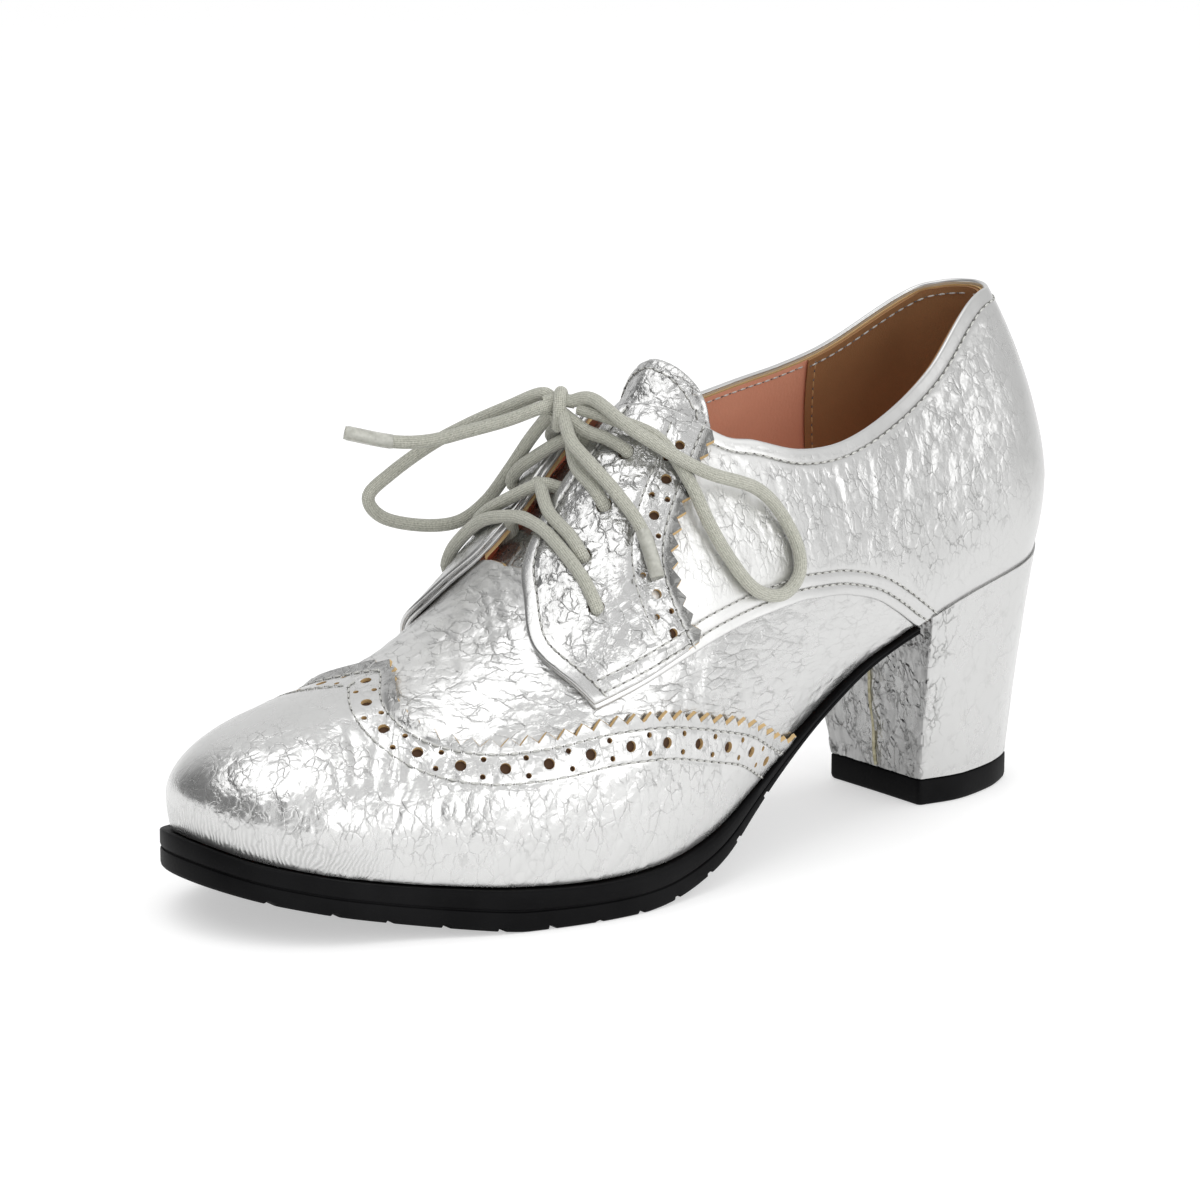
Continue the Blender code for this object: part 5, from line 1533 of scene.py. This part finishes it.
def tube(name, paths, radius, looks):
    """Round cords along paths in millimetres, with closed ends and a map of the turn and the length."""
    points, faces, maps = [], [], []
    sides = LACE_SIDES
    for path in paths:
        path = np.asarray(path, float)
        size = np.broadcast_to(np.asarray(radius, float), len(path))
        ahead = unit(np.gradient(path, axis=0))
        run = travelled(path)
        side = np.cross(ahead[0], [0.3, 0.2, 1.0])
        start = len(points)
        for number, (centre, way) in enumerate(zip(path, ahead)):
            side = side - way * (side @ way)
            side /= np.linalg.norm(side)
            over = np.cross(way, side)
            for corner in range(sides):
                angle = 2 * math.pi * corner / sides
                points.append(centre + size[number] * (side * math.cos(angle) + over * math.sin(angle)))
        for number in range(len(path) - 1):
            for corner in range(sides):
                other = (corner + 1) % sides
                low, high = start + number * sides, start + (number + 1) * sides
                faces.append((low + corner, low + other, high + other, high + corner))
                maps += [(corner / sides, run[number]), ((corner + 1) / sides, run[number]),
                         ((corner + 1) / sides, run[number + 1]), (corner / sides, run[number + 1])]
        end = start + (len(path) - 1) * sides
        faces.append(tuple(start + corner for corner in range(sides - 1, -1, -1)))
        faces.append(tuple(end + corner for corner in range(sides)))
        maps += [(0.0, 0.0)] * sides + [(0.0, run[-1])] * sides
    made = solid(name, np.array(points), faces, looks)
    layer = made.data.uv_layers.new(name="UVMap")
    layer.data.foreach_set("uv", np.array(maps, np.float32).ravel())
    return made


def flow(rows):
    """Dense smooth path through rows of points in millimetres."""
    rows = np.asarray(rows, float)
    return pace(smooth(rows, np.linspace(0, len(rows) - 1, 60 * len(rows))), LACE_STEP)


def spot(turn, girth, lift):
    return skin(turn, girth, lift)[0]


def facing_girth(station, side):
    """Girth of a facing's edge at a station."""
    rows = FACING_LATERAL if side > 0 else FACING_MEDIAL
    line = trail(rows, np.linspace(0.25, 1, 200))
    return float(np.interp(-station, -line[:, 0], line[:, 1]))


def up_through(hole, side):
    """Lift of the lace over the stay at a hole, and its way up through that hole."""
    over = float(stay_lift(hole.station)) + LACE / 2 + 0.2
    return over, [spot(side * hole.station, hole.girth, over - depth) for depth in (6.0, 3.0, 0.9)]


def lace_strand(low, high, side):
    """One strand: up through a hole, over its own facing, across and down under the other facing."""
    start, end = HOLES[low], HOLES[high]
    over, rows = up_through(start, side)
    edge = facing_girth(start.station - 0.05, side)
    gap_station = start.station * 0.3 + end.station * 0.7
    gap_edge = facing_girth(gap_station, -side)
    return flow(rows + [
        spot(side * (start.station - 0.02), start.girth * 0.72 + edge * 0.28, over + 0.15),
        spot(side * (start.station - 0.05), start.girth * 0.2 + edge * 0.8, over + 0.25),
        spot(side * (start.station * 0.45 + end.station * 0.55), 0.995, over + 0.1),
        spot(-side * gap_station, gap_edge + 0.022, over - 2.6),
        spot(-side * (gap_station * 0.6 + end.station * 0.4), gap_edge - 0.03, over - 6.3),
        spot(-side * end.station, end.girth + 0.02, over - 7.2),
    ])


strands = [lace_strand(low, low + 1, side) for side in (1, -1) for low in range(3)]
KNOT = np.array([139.0, 1.2, 104.8])
for side in (1, -1):
    over, rows = up_through(HOLES[3], side)
    strands.append(flow(rows + [
        spot(side * 6.24, HOLES[3].girth + 0.045, over + 0.3),
        spot(side * 6.28, 0.955, over + 1.6),
        KNOT + np.array([0.4, 1.6 * side, -2.2]),
    ]))
strands.append(flow([
    spot(HOLES[0].station, HOLES[0].girth, -5.2), spot(7.08, 0.80, -5.6), spot(7.1, 1.0, -5.8),
    spot(-7.08, 0.80, -5.6), spot(-HOLES[0].station, HOLES[0].girth, -5.2),
]))
crossings = tube("lace_through_holes", strands, LACE / 2, [lace_cotton.look])
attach(crossings, "root")
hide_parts("lace_crossings")

knot_axis = np.array([-0.8, 0.6, 0.0])
knot_deep = np.array([0.6, 0.8, 0.0])
knot_turn = np.linspace(-2.9, 2.9, 80)
knot_rise = np.outer(np.sin(knot_turn), [0, 0, 1.0]) * 3.7
knot_path = KNOT + [0, 0, -1.6] + np.outer(np.cos(knot_turn), knot_deep) * 3.0 + knot_rise
knot_path = knot_path + np.outer(knot_turn * 0.2, knot_axis)
knot_core = flow([KNOT + knot_axis * -3.4, KNOT + knot_axis * -1.2 + [0, 0, 0.5],
                  KNOT + knot_axis * 1.2 + [0, 0, 0.4], KNOT + knot_axis * 3.4])
knot = tube("lace_bow_knot", [pace(knot_path, 0.6), knot_core], LACE / 2, [lace_cotton.look])
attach(knot, "root")
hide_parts("lace_knot")

Over = namedtuple("Over", "station girth lift")
Route = namedtuple("Route", "x y z")
LOOP_LATERAL = [Over(6.12, 0.955, 8.6), Over(6.10, 0.85, 7.4), Over(5.82, 0.715, 5.4), Over(5.25, 0.615, 3.2),
                Over(4.90, 0.495, 1.4), Over(4.85, 0.41, 1.2), Over(5.10, 0.39, 1.2), Over(5.45, 0.44, 1.3),
                Over(5.70, 0.53, 1.6), Over(5.85, 0.62, 2.3), Over(5.92, 0.72, 3.3), Over(5.98, 0.82, 3.7),
                Over(6.12, 0.91, 4.9)]
END_LATERAL = [Over(6.40, 0.945, 7.6), Over(6.44, 0.88, 6.8), Over(6.44, 0.80, 4.9), Over(6.42, 0.71, 3.5),
               Over(6.46, 0.61, 3.4)]
LOOP_MEDIAL = [Route(140.6, -3.6, 106.2), Route(144.2, -11, 102.6), Route(149, -19, 98.2), Route(155, -26, 93),
               Route(162.5, -31, 86.5), Route(167.2, -33, 81.5), Route(163.5, -33, 76.4), Route(155, -30, 74),
               Route(147.6, -26, 74.6), Route(143, -21.5, 79.5), Route(141.4, -14.6, 87.5),
               Route(140.4, -8.6, 94.8), Route(139.4, -4.2, 99.8)]
END_MEDIAL = [Route(143.3, -0.9, 103.5), Route(147.8, -6.5, 100.6), Route(153.2, -13.5, 97.8),
              Route(159, -20.5, 95.2), Route(165, -26.5, 94.8), Route(174, -32, 97)]
lace_tip = speckled("lace_tip", 700.0, 3.0, (0.34, 0.34, 0.30), (0.50, 0.50, 0.45),
                    Roughness=0.25, Coat_Weight=0.6)
for name, route, far in (
    ("lace_loop_lateral", LOOP_LATERAL, "knot"), ("lace_loop_medial", LOOP_MEDIAL, "knot"),
    ("lace_end_lateral", END_LATERAL, "fitting"), ("lace_end_medial", END_MEDIAL, "fitting"),
):
    rows = [spot(*row) if isinstance(row, Over) else np.array(row, float) for row in route]
    rows.insert(0, KNOT + (rows[0] - KNOT) * 0.3)
    if far == "knot":
        rows.append(KNOT + (rows[-1] - KNOT) * 0.35)
    path = flow(rows)
    free = tube(name + "_cord", [path], LACE / 2, [lace_cotton.look])
    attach(free, "root")
    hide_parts(name)
    if far == "fitting":
        tip_path = path[-TIP_POINTS:]
        tip_size = np.full(TIP_POINTS, TIP_RADIUS)
        tip_size[0], tip_size[-1] = TIP_START, TIP_END
        tip = tube(name.replace("end", "tip"), [tip_path], tip_size, [lace_tip])
        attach(tip, "root")
    long = float(travelled(path)[-1]) * MILLIMETRE
    metres(path[0])
    metres(path)
